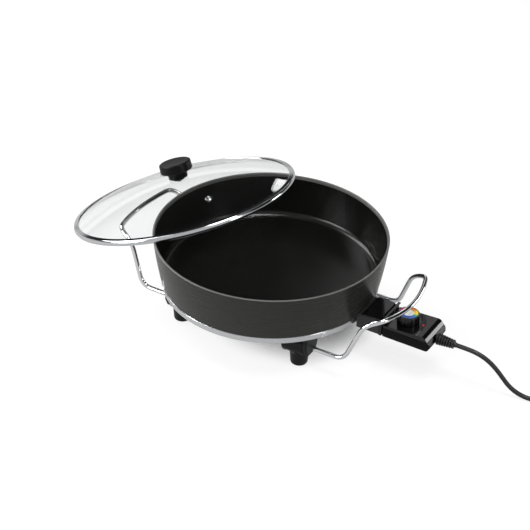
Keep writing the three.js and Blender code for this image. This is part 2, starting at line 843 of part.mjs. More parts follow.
function handlePath() {
  const cornerY = footSpanY - gripCornerInset;
  const corner = new THREE.Vector3(rimRadius + gripCornerReach, cornerY, rimHeight - gripCornerDrop);
  const middle = new THREE.Vector3(rimRadius + gripReach, 0, rimHeight - gripDrop);
  const grip = (share) => new THREE.Vector3(
    middle.x + (corner.x - middle.x) * share ** 2,
    corner.y * share,
    middle.z + (corner.z - middle.z) * share ** 2,
  );
  const half = [
    new THREE.Vector3(rodStart, footSpanY, rodHeight),
    new THREE.Vector3(rimRadius - rodKneeInset, footSpanY, rodHeight),
    new THREE.Vector3(rimRadius + shoulderReach, footSpanY - shoulderInset, rimHeight - shoulderDrop),
    ...gripShares.map(grip),
  ];
  const mirrored = half.map((p) => new THREE.Vector3(p.x, -p.y, p.z)).reverse();
  return bentPath([...half, middle, ...mirrored], rodBend);
}

for (const [name, turn] of [['handle_rod_right', 0], ['handle_rod_left', Math.PI]]) {
  const rod = add(name, tube(handlePath(), rodRadius, rodSides, rodSteps), chrome);
  rod.rotation.z = turn;
}

// Lid: a domed glass in a steel band, with a knob bolted through its middle and a vent

const glassEdge = lidRadius - lidBandWall - seatGap;
const glassFoot = lidBandWall + seatGap;
const glassCrown = glassFoot + glassRise + glassThickness;
const ventX = ventPlace * Math.cos(ventAngle);
const ventY = ventPlace * Math.sin(ventAngle);
const domeRadius = (glassEdge ** 2 + glassRise ** 2) / (2 * glassRise);

function domeHeight(radius) {
  return glassFoot + glassRise - domeRadius + Math.sqrt(domeRadius ** 2 - radius ** 2);
}

const lid = new THREE.Group();
const heading = THREE.MathUtils.degToRad(lidHeading);
const tilt = THREE.MathUtils.degToRad(lidTilt);
lid.position.set(-rimRadius - lidOverhang, lidSide, rimHeight);
lid.quaternion.setFromAxisAngle(new THREE.Vector3(-Math.sin(heading), Math.cos(heading), 0), tilt);
group.add(lid);

// The lid's lower side at a distance from its axis.
function underside(radius) {
  const inner = lidRadius - lidBandWidth;
  if (radius < inner) return domeHeight(radius);
  const edge = lidRadius - lidBandWall;
  const innerHeight = domeHeight(inner) - seatGap - lidBandWall;
  return innerHeight * Math.max(edge - radius, 0) / (edge - inner);
}

// The lid comes down until some point of the pan's rim meets its lower side.
function settleLid() {
  const rimPoint = new THREE.Vector3();
  const points = 720;
  for (let round = 0; round < 4; round += 1) {
    lid.updateMatrixWorld(true);
    let lift = -Infinity;
    for (let i = 0; i < points * 2; i += 1) {
      const angle = 2 * Math.PI * i / points;
      const radius = rimRadius - (i < points ? rimBead : wallThickness - rimBead);
      rimPoint.set(radius * Math.cos(angle), radius * Math.sin(angle), rimHeight);
      lid.worldToLocal(rimPoint);
      const reach = Math.hypot(rimPoint.x, rimPoint.y);
      if (reach < lidRadius) lift = Math.max(lift, rimPoint.z + seatGap - underside(reach));
    }
    lid.position.z += lift / Math.cos(tilt);
  }
}

settleLid();

// A hole for the knob's screw, from one height to another.
function boltHole(from, to) {
  return disc(knobScrewRadius + seatGap, from, to, boltSteps);
}

const domeShares = [0.22, 0.45, 0.66, 0.84, 0.96]; // where the dome has its facets, out from the middle

// The facet of the glass's underside at a distance from its axis: its height there, and its slope.
function facetAt(radius) {
  const next = domeShares.findIndex((share) => glassEdge * share > radius);
  const [from, to] = [domeShares[next - 1], domeShares[next]].map((share) => glassEdge * share);
  const slope = (domeHeight(to) - domeHeight(from)) / (to - from);
  return { height: domeHeight(from) + slope * (radius - from), slope };
}

function makeGlass() {
  const under = domeShares.map((share) => [glassEdge * share, domeHeight(glassEdge * share)]);
  const over = under.map(([radius, height]) => [radius, height + glassThickness]);
  const dome = turned([
    [0, glassFoot + glassRise],
    ...under,
    [glassEdge, glassFoot],
    [glassEdge, glassFoot + glassThickness],
    ...over.reverse(),
    [0, glassCrown],
  ]);
  const bolt = boltHole(glassFoot, glassCrown + overrun);
  const vent = disc(ventRadius + seatGap, glassFoot, glassCrown + overrun).translate(ventX, ventY, 0);
  return cut(dome, bolt, vent);
}

function makeBand() {
  const outer = lidRadius;
  const inner = lidRadius - lidBandWidth;
  const lip = glassFoot + glassThickness + seatGap;
  return turned([
    [inner, domeHeight(inner) - seatGap - lidBandWall],
    [outer - lidBandWall, 0],
    [outer, lidBandWall],
    [outer, lidBandHeight],
    [inner + lidBandWall, domeHeight(inner) + glassThickness + seatGap + lidBandWall],
    [inner, domeHeight(inner) + glassThickness + seatGap],
    [outer - lidBandWall, lip],
    [outer - lidBandWall, glassFoot],
    [outer - lidBandWall - seatGap, glassFoot - seatGap],
    [inner, domeHeight(inner) - seatGap],
  ]);
}

add('lid_glass', makeGlass(), glass, lid);
add('lid_band', makeBand(), chrome, lid);

const stemBottom = glassCrown + seatGap;
const stemTop = stemBottom + stemHeight;
const knobBottom = stemTop + seatGap;
const knobTop = knobBottom + knobHeight;

add('knob_stem', cut(turned([
  [0, stemBottom],
  [stemFoot, stemBottom],
  [stemRadius, stemTop],
  [0, stemTop],
], discSteps), boltHole(stemBottom - overrun, stemTop + overrun)), black, lid);

const knobScrewTop = knobTop - knobHeight * cornerShare - seatGap;

add('knob_cap', cut(turned([
  [0, knobBottom],
  [knobRadius - knobDish, knobBottom],
  [knobRadius, knobBottom + knobDish],
  [knobRadius - knobDish / 2, knobTop - knobDish],
  [knobRadius - knobDish * 2, knobTop],
  [0, knobTop - knobDish / 2],
], discSteps), boltHole(knobBottom - overrun, knobScrewTop + seatGap)), black, lid);

const washerTop = glassFoot + glassRise - seatGap * 2; // the glass falls away from the middle
add('knob_washer', cut(
  disc(washerRadius, washerTop - washerThickness, washerTop),
  boltHole(washerTop - overrun, washerTop + overrun),
), rubber, lid);

const knobScrewSeat = washerTop - washerThickness - seatGap;
add('knob_screw', screw(knobScrewTop - knobScrewSeat, knobScrewRadius)
  .rotateX(Math.PI).translate(0, 0, knobScrewTop), steel, lid);

// The grommet sits square on the glass, which slopes there.
function makeGrommet() {
  const halfGlass = glassThickness / 2;
  const flange = halfGlass + seatGap + grommetFlange;
  const neck = ventRadius - slipGap / 2;
  const profile = [
    [neck - grommetFlange, -flange],
    [grommetRadius, -flange],
    [grommetRadius, -flange + grommetFlange],
    [neck, -flange + grommetFlange],
    [neck, flange - grommetFlange],
    [grommetRadius, flange - grommetFlange],
    [grommetRadius - grommetFlange / 2, flange],
    [neck - grommetFlange, flange],
  ];
  return turned(profile, smallSteps);
}

const grommet = add('vent_grommet', makeGrommet(), steel, lid);
const ventSeat = facetAt(ventPlace);
const ventLean = ventSeat.slope / ventPlace;
const ventSlope = new THREE.Vector3(-ventLean * ventX, -ventLean * ventY, 1);
grommet.position.set(ventX, ventY, ventSeat.height + glassThickness / 2);
grommet.quaternion.setFromUnitVectors(new THREE.Vector3(0, 0, 1), ventSlope.normalize());

// Cord: a ribbed strain relief, a free run to the table and the rest wound into a coil

const reliefStart = caseEnd - caseWall;
const reliefEnd = reliefStart + reliefLength;

const ribShares = [0.55, 0.65, 0.95]; // of one rib's pitch: its end, and both ends of the groove

function makeRelief() {
  const profile = [[0, reliefStart - caseWall]];
  profile.push([reliefHole, reliefStart - caseWall], [reliefHole, caseEnd + seatGap]);
  const ribbed = reliefEnd - caseEnd - seatGap;
  const pitch = ribbed / (reliefRibs + 1 / 2);
  for (let i = 0; i < reliefRibs; i += 1) {
    const share = i / (reliefRibs - 1);
    const radius = reliefRoot + (reliefTip - reliefRoot) * share;
    const start = caseEnd + seatGap + i * pitch;
    const [ribEnd, grooveStart, grooveEnd] = ribShares.map((part) => start + pitch * part);
    profile.push([radius, start], [radius, ribEnd]);
    profile.push([radius - reliefGroove, grooveStart]);
    profile.push([radius - reliefGroove, grooveEnd]);
  }
  profile.push([cordRadius + seatGap, reliefEnd], [0, reliefEnd]);
  return turned(profile, smallSteps).rotateY(Math.PI / 2).translate(0, 0, reliefLevel);
}

add('strain_relief', makeRelief(), rubber);

const cordRest = 0.1; // the cord clears the table by this
const cordStart = new THREE.Vector3(reliefEnd + seatGap, 0, reliefLevel);
const tableLevel = cordRadius + cordRest;
const cordPoints = cordRoute.map(([out, aside], i) => {
  const height = tableLevel + (reliefLevel - tableLevel) * heightShares[i];
  return new THREE.Vector3(cordStart.x + out, aside, height);
});
const cordEnd = cordPoints[cordPoints.length - 1];
add('cord', tube(new THREE.CatmullRomCurve3(cordPoints), cordRadius, cordSides, cordSteps), rubber);

const coilCentre = new THREE.Vector3(cordEnd.x + cordRadius * 2 + seatGap, cordEnd.y + coilRadius, cordEnd.z);

// One point of the coil: it spirals in on the table, climbs a layer in half a turn
// and spirals out again on top.
function coilPoint(turn) {
  const layerTurns = (coilTurns - climbTurns) / 2;
  const inward = Math.min(turn, layerTurns);
  const outward = Math.max(turn - layerTurns - climbTurns, 0);
  const climb = THREE.MathUtils.smoothstep(turn, layerTurns, layerTurns + climbTurns);
  const radius = coilRadius - coilPitch * (inward - outward) - coilDip * Math.sin(Math.PI * climb);
  const angle = 2 * Math.PI * (turn - 0.25);
  return new THREE.Vector3(
    coilCentre.x + radius * Math.cos(angle),
    coilCentre.y + radius * Math.sin(angle),
    coilCentre.z + coilLift * climb,
  );
}

function coilPoints() {
  const points = [new THREE.Vector3(cordEnd.x + seatGap, cordEnd.y, cordEnd.z)];
  const steps = Math.round(coilTurns * coilSteps);
  for (let i = 0; i <= steps; i += 1) points.push(coilPoint(i / coilSteps));
  return points;
}

const riseShares = [0.4, 0.3]; // how far along, and how far up, the lead is on its way to the plug
const windings = coilPoints();
const lastTurn = windings[windings.length - 1];
const plugStart = new THREE.Vector3(lastTurn.x, lastTurn.y + plugLead, plugRadius + seatGap);
const leadRise = lastTurn.clone();
leadRise.y += plugLead * riseShares[0];
leadRise.z += (plugStart.z - lastTurn.z) * riseShares[1];
const leadEnd = new THREE.Vector3(plugStart.x, plugStart.y - cordRadius * 2 - seatGap, plugStart.z);
windings.push(leadRise, leadEnd, new THREE.Vector3(plugStart.x, plugStart.y - seatGap, plugStart.z));

// The least gap between the coil's turns, between points that are over a third of a turn apart.
function leastGap(points, radius) {
  let least = Infinity;
  for (let i = 0; i < points.length; i += 1) {
    for (let j = i + coilSteps / 3; j < points.length; j += 1) {
      least = Math.min(least, points[i].distanceTo(points[j]) - 2 * radius);
    }
  }
  return least;
}

console.log(`coil: least gap to itself ${leastGap(windings, cordRadius).toFixed(2)} mm`);
const coilPath = new THREE.CatmullRomCurve3(windings);
const cordLength = new THREE.CatmullRomCurve3(cordPoints).getLength() + coilPath.getLength();
console.log(`cord: ${cordLength.toFixed(0)} mm`);
add('cord_coil', tube(coilPath, cordRadius, coilSides, windings.length), rubber);

function makePlug() {
  const body = turned([
    [0, 0],
    [plugNeckRadius, 0],
    [plugWaistRadius, plugNeck / 2],
    [plugShoulderRadius, plugNeck],
    [plugRadius - socketCorner, plugNeck + socketCorner],
    [plugRadius, plugNeck + socketCorner * 2],
    [plugRadius, plugNeck + plugBody],
    [0, plugNeck + plugBody],
  ], smallSteps);
  const pins = [-1, 1].map((side) => (
    disc(plugPinRadius + seatGap, plugNeck, plugNeck + plugBody + overrun, boltSteps)
      .translate(side * plugPinSpread, 0, 0)));
  return cut(body, ...pins).rotateX(-Math.PI / 2).translate(plugStart.x, plugStart.y, plugStart.z);
}

add('mains_plug', makePlug(), rubber);
for (const [name, side] of [['mains_pin_left', -1], ['mains_pin_right', 1]]) {
  const pin = turned([
    [0, plugNeck + seatGap],
    [plugPinRadius, plugNeck + seatGap],
    [plugPinRadius, plugNeck + plugBody + plugPinLength - plugPinRadius],
    [plugPinRadius / 2, plugNeck + plugBody + plugPinLength],
    [0, plugNeck + plugBody + plugPinLength],
  ], boltSteps);
  add(name, pin.translate(side * plugPinSpread, 0, 0).rotateX(-Math.PI / 2)
    .translate(plugStart.x, plugStart.y, plugStart.z), steel);
}

// The origin lies under the middle of the skillet without its loose cord, on the table.
const onCord = ['cord', 'cord_coil', 'mains_plug', 'mains_pin_left', 'mains_pin_right'];
group.updateMatrixWorld(true);
const extent = new THREE.Box3();
group.traverse((object) => {
  if (object.isMesh && !onCord.includes(object.name)) extent.expandByObject(object, true);
});
const middle = extent.getCenter(new THREE.Vector3());
group.position.set(-middle.x, -middle.y, -extent.min.z);

export default group;
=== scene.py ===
# %% [markdown]
# An electric skillet: a deep non-stick pan on four feet, two chromed wire handles, a glass lid
# that leans on the rim and a pull-out thermostat on its mains lead.
# The construction comes in as a fixed frame of plain solids. This lesson dresses it: smooth
# meshes take the place of the faceted ones, and every surface gets its own finish.

# %% Start: load the frame
import math
import bpy
import bmesh
from mathutils import Matrix, Quaternion, Vector


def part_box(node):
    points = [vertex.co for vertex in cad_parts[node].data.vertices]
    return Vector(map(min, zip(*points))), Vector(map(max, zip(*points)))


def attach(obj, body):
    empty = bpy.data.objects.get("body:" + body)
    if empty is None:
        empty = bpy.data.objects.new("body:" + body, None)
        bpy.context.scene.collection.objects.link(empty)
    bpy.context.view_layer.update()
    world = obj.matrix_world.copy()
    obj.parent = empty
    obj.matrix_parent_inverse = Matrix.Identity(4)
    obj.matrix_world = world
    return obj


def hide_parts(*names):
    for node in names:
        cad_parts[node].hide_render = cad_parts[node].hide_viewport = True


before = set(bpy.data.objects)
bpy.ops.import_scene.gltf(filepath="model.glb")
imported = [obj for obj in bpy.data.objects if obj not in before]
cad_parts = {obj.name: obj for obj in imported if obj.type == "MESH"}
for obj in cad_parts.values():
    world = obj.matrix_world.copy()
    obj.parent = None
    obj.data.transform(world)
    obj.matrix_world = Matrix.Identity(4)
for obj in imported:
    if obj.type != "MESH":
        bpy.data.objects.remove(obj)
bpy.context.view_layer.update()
MM = 0.001


# %% [markdown]
# All the pieces share two frames. The skillet's own frame has the pan's axis at x = y = 0 and the
# table at z = 0. The lid's frame has its origin in the middle of the band's lower edge and its
# Z axis through the knob. Both are read from the solids, so nothing is placed by eye.

# %% The skillet's frame and the lid's frame
low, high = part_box("pan_body")
pan_axis = Vector(((low.x + high.x) / 2, (low.y + high.y) / 2, 0))
LID_TILT = math.radians(19.9)
LID_HEADING = math.radians(168.6)
lid_turn = Quaternion((-math.sin(LID_HEADING), math.cos(LID_HEADING), 0), LID_TILT)
lid_up = lid_turn @ Vector((0, 0, 1))
band_points = [v.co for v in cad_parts["lid_band"].data.vertices]
band_middle = sum(band_points, Vector()) / len(band_points)
band_foot = min(point.dot(lid_up) for point in band_points)
lid_origin = band_middle - lid_up * (band_middle.dot(lid_up) - band_foot)
on_pan = Matrix.Translation(pan_axis)
on_lid = Matrix.Translation(lid_origin) @ lid_turn.to_matrix().to_4x4()
print("lid origin in mm from the pan's axis:", [round(v / MM, 1) for v in lid_origin - pan_axis])


# %% [markdown]
# The camera stands where the photograph was taken from: a long lens, about 2.6 m away, 33 degrees
# above the table and slightly rolled. It comes first because the lead's coil has to stay out of
# its view.

# %% Camera
IMAGE_PIXELS = 530
FOCAL_PIXELS = 1700
SENSOR = 36
CAMERA_ROLL = math.radians(1.567)
CAMERA_FROM_PAN = (1.0997, -1.9054, 1.5530)
AIM_FROM_PAN = (-0.0142, 0.0072, 0.0800)
camera_data = bpy.data.cameras.new("camera")
camera_data.sensor_width = SENSOR
camera_data.lens = FOCAL_PIXELS / IMAGE_PIXELS * SENSOR
camera = bpy.data.objects.new("camera", camera_data)
bpy.context.collection.objects.link(camera)
camera.location = pan_axis + Vector(CAMERA_FROM_PAN)
look = (Vector(AIM_FROM_PAN) - Vector(CAMERA_FROM_PAN)).to_track_quat("-Z", "Y")
camera.rotation_mode = "QUATERNION"
camera.rotation_quaternion = look @ Quaternion((0, 0, 1), CAMERA_ROLL)
bpy.context.scene.camera = camera
bpy.context.scene.view_settings.view_transform = "Standard"
print("lens:", round(camera_data.lens, 1), "mm")


# %% [markdown]
# Three ways to make a shape cover almost the whole skillet. Pots, knobs and feet are profiles
# turned on a lathe. Housings are rounded rectangles lofted from level to level, with their edges
# bevelled after. Rods and leads are round sections swept along a path of close points. Each helper
# takes millimetres.

# %% Helpers: meshes
FIT = 0.3  # between pieces that touch
SLIP = 0.4  # round a piece that slides in or out
OVERRUN = 6  # of a cutting shape past what it cuts
FINE_STEPS = 256  # round the widest pieces
EDGE_DEGREES = 28  # from which on an edge is rounded
MERGE = 1e-6


def put(name, data, matrix, body, replaced=()):
    if body == "lid":
        # A leaning piece has its lean in the mesh, so that its box stays as tight as the solid's.
        data.transform(matrix)
        matrix = Matrix()
    data.name = name
    piece = bpy.data.objects.new(name, data)
    bpy.context.collection.objects.link(piece)
    piece.matrix_world = matrix
    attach(piece, body)
    if replaced:
        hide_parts(*replaced)
    return piece


def smooth(mesh, sharp_degrees=32):
    mesh.shade_smooth()
    mesh.set_sharp_from_angle(angle=math.radians(sharp_degrees))


def mesh_of_rings(rings, closed=False, tags=None):
    """A mesh through rings of equal point counts. Its ends are capped, or joined if closed."""
    mesh = bpy.data.meshes.new("shape")
    count = len(rings[0])
    points = [Vector(point) * MM for ring in rings for point in ring]
    faces = []
    kinds = []
    spans = len(rings) if closed else len(rings) - 1
    for ring in range(spans):
        above = (ring + 1) % len(rings)
        for i in range(count):
            j = (i + 1) % count
            faces.append((ring * count + i, ring * count + j, above * count + j, above * count + i))
            kinds.append(tags[ring] if tags else 0)
    if not closed:
        faces.append(tuple(reversed(range(count))))
        faces.append(tuple(range((len(rings) - 1) * count, len(rings) * count)))
        kinds += [tags[0] if tags else 0, tags[-1] if tags else 0]
    mesh.from_pydata(points, [], faces)
    mesh.polygons.foreach_set("material_index", kinds)
    work = bmesh.new()
    work.from_mesh(mesh)
    bmesh.ops.remove_doubles(work, verts=work.verts, dist=MERGE)
    bmesh.ops.recalc_face_normals(work, faces=work.faces)
    work.to_mesh(mesh)
    work.free()
    smooth(mesh)
    return mesh


def span(start, end, steps):
    """Numbers from start to end in equal steps, both included."""
    return [start + (end - start) * i / steps for i in range(steps + 1)]


def turned(profile, steps, tags=None):
    """A closed or axis-to-axis profile of (radius, height) turned about Z."""
    angles = span(0, 2 * math.pi, steps)[:-1]
    rings = [[(radius * math.cos(a), radius * math.sin(a), height) for a in angles] for radius, height in profile]
    return mesh_of_rings(rings, closed=profile[0][0] != 0, tags=tags)


def bar(radius, start, end, steps=32):
    """A round bar along Z, mostly to cut a hole with."""
    return turned([(0, start), (radius, start), (radius, end), (0, end)], steps)


def arc(radius, height, size, start, end, steps=8):
    """Points on a circle of a size round (radius, height), between two angles in degrees."""
    return [(radius + size * math.cos(angle), height + size * math.sin(angle))
            for angle in span(math.radians(start), math.radians(end), steps)]


def rounded_rectangle(x0, x1, y0, y1, corner):
    centres = ((x1 - corner, y1 - corner), (x0 + corner, y1 - corner),
               (x0 + corner, y0 + corner), (x1 - corner, y0 + corner))
    points = []
    for quarter, (x, y) in enumerate(centres):
        points += arc(x, y, corner, quarter * 90, quarter * 90 + 90)
    return points


def lofted(levels):
    """Rounded rectangles (z, x0, x1, y0, y1, corner) lofted upwards."""
    return mesh_of_rings([[(x, y, z) for x, y in rounded_rectangle(*outline)] for z, *outline in levels])


def soften(piece, width, segments=3):
    """Rounds the edges of a moulded piece, as its mould would."""
    bevel = piece.modifiers.new("edge", "BEVEL")
    bevel.width = width * MM
    bevel.segments = segments
    bevel.limit_method = "ANGLE"
    bevel.angle_limit = math.radians(EDGE_DEGREES)
    bevel.harden_normals = True
    return piece


def combined(meshes, operation="UNION"):
    """Joins meshes into one closed mesh, or cuts the later ones out of the first."""
    parts = [bpy.data.objects.new("part", mesh) for mesh in meshes]
    for part in parts:
        bpy.context.collection.objects.link(part)
    for part in parts[1:]:
        step = parts[0].modifiers.new("combine", "BOOLEAN")
        step.operation = operation
        step.solver = "EXACT"
        step.object = part
    graph = bpy.context.evaluated_depsgraph_get()
    mesh = bpy.data.meshes.new_from_object(parts[0].evaluated_get(graph))
    for part in parts:
        bpy.data.objects.remove(part)
    smooth(mesh)
    return mesh


def smooth_path(points, per_span=6):
    """Points on a smooth curve through the given ones."""
    padded = [points[0] * 2 - points[1], *points, points[-1] * 2 - points[-2]]
    path = []
    for i in range(1, len(padded) - 2):
        a, b, c, d = padded[i - 1:i + 3]
        for k in range(per_span):
            t = k / per_span
            path.append(((b * 2) + (c - a) * t + (a * 2 - b * 5 + c * 4 - d) * t ** 2
                         + (b * 3 - a - c * 3 + d) * t ** 3) / 2)
    path.append(points[-1])
    return path


def swept(points, radius, sides=16):
    """A round rod along a path of close points. Its section never twists."""
    rings = []
    across = None
    turns = span(0, 2 * math.pi, sides)[:-1]
    for i, point in enumerate(points):
        along = (points[min(i + 1, len(points) - 1)] - points[max(i - 1, 0)]).normalized()
        if across is None:
            across = along.orthogonal().normalized()
        across = (across - along * across.dot(along)).normalized()
        upright = along.cross(across)
        rings.append([point + (across * math.cos(turn) + upright * math.sin(turn)) * radius for turn in turns])
    return mesh_of_rings(rings)


def bend(a, corner, b, steps=10):
    """A curve from a to b that sets out for the corner and arrives from it."""
    return [a.lerp(corner, t).lerp(corner.lerp(b, t), t) for t in span(0, 1, steps)]


def bent(corners, size, steps=14, most=0.48):
    """Straight runs with each corner rounded off over a size, or over most of the shorter run."""
    path = [corners[0]]
    for before, corner, after in zip(corners, corners[1:], corners[2:]):
        incoming = corner - before
        outgoing = after - corner
        reach = min(size, incoming.length * most, outgoing.length * most)
        start = corner - incoming.normalized() * reach
        end = corner + outgoing.normalized() * reach
        path += bend(start, corner, end, steps)
    return path + [corners[-1]]


def eased(profile, size, steps=4):
    """Rounds every corner of an open profile of (radius, height) pairs."""
    return [tuple(point) for point in bent([Vector(point) for point in profile], size, steps, 0.45)]


def shift(x=0, y=0, z=0):
    return Matrix.Translation(Vector((x, y, z)) * MM)


def moved(mesh, x=0, y=0, z=0):
    mesh.transform(shift(x, y, z))
    return mesh


def along_x(mesh, start=(0, 0, 0)):
    """Lays a mesh that was made along Z down along X."""
    mesh.transform(shift(*start) @ Matrix.Rotation(math.radians(90), 4, "Y"))
    return mesh


print("helpers ready")


# %% [markdown]
# The lead first. A mains lead leaves the strain relief straight, sinks to the table under its own
# weight and runs on to where it is put away: a neat coil in two layers, just outside the picture.
# It is one curve, so it has one real length. The route repeats the solids' route.

# %% The mains lead
CORD_RADIUS = 3.5
relief_low, relief_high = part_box("strain_relief")
relief_end = (relief_high.x - pan_axis.x) / MM
relief_level = (relief_low.z + relief_high.z) / 2 / MM
CORD_ROUTE = [
    (0, 0), (9.3, 0), (20.3, 0), (31.3, 0.2), (42.3, 0.8), (52.3, 1.8), (61.3, 3), (69.3, 4.4), (76.3, 5.8),
    (83.3, 7.2), (91.3, 8.8), (100.3, 10.6), (110.3, 12.4), (121.3, 14), (132.3, 15.2), (142.3, 15.8), (152.3, 16),
]
HEIGHT_SHARES = [1, 1, 0.997, 0.978, 0.925, 0.835, 0.715, 0.574, 0.43, 0.292, 0.171, 0.081, 0.024, 0.004, 0, 0, 0]
CORD_REST = 0.1
COIL_TURNS = 5.25
CLIMB_TURNS = 0.5
COIL_RADIUS = 46
COIL_PITCH = 7.7
COIL_LIFT = 7.6
COIL_DIP = 1.5
COIL_STEPS = 24
COIL_START = -0.25
PLUG_RADIUS = 18.5
PLUG_LEAD = 34
RISE_PLACE_SHARE = 0.4
RISE_HEIGHT_SHARE = 0.3

table_level = CORD_RADIUS + CORD_REST
drop = relief_level - table_level
route = [Vector((relief_end + FIT + out, aside, table_level + drop * share))
         for (out, aside), share in zip(CORD_ROUTE, HEIGHT_SHARES)]
coil_centre = route[-1] + Vector((CORD_RADIUS * 2 + FIT, COIL_RADIUS, 0))


def coil_point(turn):
    layer = (COIL_TURNS - CLIMB_TURNS) / 2
    inward = min(turn, layer)
    outward = max(turn - layer - CLIMB_TURNS, 0)
    share = min(max((turn - layer) / CLIMB_TURNS, 0), 1)
    climb = share * share * (3 - 2 * share)
    radius = COIL_RADIUS - COIL_PITCH * (inward - outward) - COIL_DIP * math.sin(math.pi * climb)
    angle = 2 * math.pi * (turn + COIL_START)
    return coil_centre + Vector((radius * math.cos(angle), radius * math.sin(angle), COIL_LIFT * climb))


coil = [coil_point(i / COIL_STEPS) for i in range(round(COIL_TURNS * COIL_STEPS) + 1)]
plug_entry = Vector((coil[-1].x, coil[-1].y + PLUG_LEAD, PLUG_RADIUS + FIT))
lead_rise = Vector((coil[-1].x, coil[-1].y + PLUG_LEAD * RISE_PLACE_SHARE,
                    coil[-1].z + (plug_entry.z - coil[-1].z) * RISE_HEIGHT_SHARE))
lead_end = plug_entry - Vector((0, CORD_RADIUS * 2 + FIT, 0))
cord_points = smooth_path(route + coil + [lead_rise, lead_end, plug_entry - Vector((0, FIT, 0))], 4)
cord_length = sum((b - a).length for a, b in zip(cord_points, cord_points[1:])) * MM
lead = put("mains_lead", swept(cord_points, CORD_RADIUS), on_pan, "thermostat", ["cord", "cord_coil"])
print("lead length:", round(cord_length, 3), "m")


# %% [markdown]
# The pan is one lathe profile: up the flared outside wall, over the thin bare rim, down the
# coated inside and round the corner to the cooking floor. Each stretch of the profile carries the
# number of its finish, so the outside, the rim and the inside differ without a seam.

# %% The pan
RIM_RADIUS = 182
RIM_HEIGHT = 147
WALL_FOOT_RADIUS = 170
WALL_FOOT_HEIGHT = 71.5
WALL = 3.2
PAN_FLOOR = 76
INSIDE_CORNER = 11
OUTSIDE_CORNER = 3
WALL_BULGE = 1.2
RIM_BEAD = 0.9
FLAT_SUPPORT = 0.6
FLOOR_RINGS = 4
WALL_RINGS = 14
OUTSIDE, INSIDE, RIM = 0, 1, 2


def wall_radius(height):
    share = (height - WALL_FOOT_HEIGHT) / (RIM_HEIGHT - WALL_FOOT_HEIGHT)
    return (WALL_FOOT_RADIUS + (RIM_RADIUS - WALL_FOOT_RADIUS) * share
            + 4 * WALL_BULGE * share * (1 - share))


outer_corner = WALL_FOOT_HEIGHT + OUTSIDE_CORNER
bead_height = RIM_HEIGHT - RIM_BEAD
inner_edge = wall_radius(bead_height) - WALL
corner_top = PAN_FLOOR + INSIDE_CORNER
corner_radius = wall_radius(corner_top) - WALL - INSIDE_CORNER
stretches = (
    (OUTSIDE, [(0, WALL_FOOT_HEIGHT),
               *arc(wall_radius(outer_corner) - OUTSIDE_CORNER, outer_corner, OUTSIDE_CORNER, -90, 0),
               *((min(wall_radius(z), RIM_RADIUS), z) for z in span(outer_corner, bead_height, WALL_RINGS)[1:])]),
    (RIM, [*arc(RIM_RADIUS - RIM_BEAD, bead_height, RIM_BEAD, 0, 90, 5),
           *arc(inner_edge + RIM_BEAD, bead_height, RIM_BEAD, 90, 180, 5)]),
    (INSIDE, [*((wall_radius(z) - WALL, z) for z in span(bead_height, corner_top, WALL_RINGS)[1:]),
              *arc(corner_radius, corner_top, INSIDE_CORNER, 0, -90, 12)[1:],
              *((r, PAN_FLOOR) for r in span(corner_radius - FLAT_SUPPORT, 0, FLOOR_RINGS))]),
)
pan_mesh = turned([point for _, points in stretches for point in points], FINE_STEPS,
                  [finish_number for finish_number, points in stretches for _ in points])
pan = put("pan_shell", pan_mesh, on_pan, "pan", ["pan_body"])
print("pan points:", len(pan.data.vertices))


# %% [markdown]
# Under the pan sits a machined base with a bright band round its edge. The recess, the boss that
# takes the temperature probe and the bent heating tube only show from below, but they are there.

# %% The base and the heating element
BAND_RADIUS = 169.5
BAND_HEIGHT = 9.2
BAND_WIDTH = 10
BASE_WEB = 4.6
PLUG_HEIGHT = 66
ELEMENT_TUBE = 3.6
ELEMENT_RING = 100
ELEMENT_BEND = 16
TERMINAL_SPREAD = 11
ELEMENT_STEPS = 120
PROBE_RADIUS = 3
BOSS_WALL = 2.8
BOSS_CORNER = 2.4
EDGE = 0.6
base_top = WALL_FOOT_HEIGHT - FIT
base_bottom = base_top - BAND_HEIGHT
recess = base_top - BASE_WEB
band_inside = BAND_RADIUS - BAND_WIDTH
base_profile = [
    (0, recess), (band_inside, recess), (band_inside, base_bottom + EDGE), (band_inside + EDGE, base_bottom),
    (BAND_RADIUS - EDGE, base_bottom), (BAND_RADIUS, base_bottom + EDGE),
    (BAND_RADIUS, base_top - EDGE), (BAND_RADIUS - EDGE, base_top), (0, base_top),
]
put("base_band", turned(base_profile, FINE_STEPS), on_pan, "pan")
probe_tip = (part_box("probe_rod")[0].x - pan_axis.x) / MM
boss_half = PROBE_RADIUS + BOSS_WALL
boss = put("probe_boss", lofted([
    (z, probe_tip - boss_half, band_inside, -boss_half, boss_half, BOSS_CORNER)
    for z in (PLUG_HEIGHT - boss_half, recess)
]), on_pan, "pan", ["base_plate"])
soften(boss, 0.8)

opening = TERMINAL_SPREAD + ELEMENT_BEND
start_angle = math.asin(opening / ELEMENT_RING)
ring_x = math.sqrt(ELEMENT_RING ** 2 - opening ** 2)
terminal, leg_end, knee = (Vector((x, TERMINAL_SPREAD, PLUG_HEIGHT))
                           for x in (BAND_RADIUS + FIT, ring_x + ELEMENT_BEND, ring_x))
ring = [Vector((ELEMENT_RING * math.cos(a), ELEMENT_RING * math.sin(a), PLUG_HEIGHT))
        for a in span(start_angle, 2 * math.pi - start_angle, ELEMENT_STEPS)]
mirror = Vector((1, -1, 1))
element = [terminal, *bend(leg_end, knee, ring[0]), *ring[1:-1],
           *bend(ring[-1], knee * mirror, leg_end * mirror), terminal * mirror]
put("heating_tube", swept(element, ELEMENT_TUBE), on_pan, "pan", ["heating_element"])
print("heating tube points:", len(element))


# %% [markdown]
# A wire handle is one chromed rod on each side: two level legs under the pan, a knee, a run up
# past the wall and a grip that bows outwards. The legs are clamped by the foot brackets.

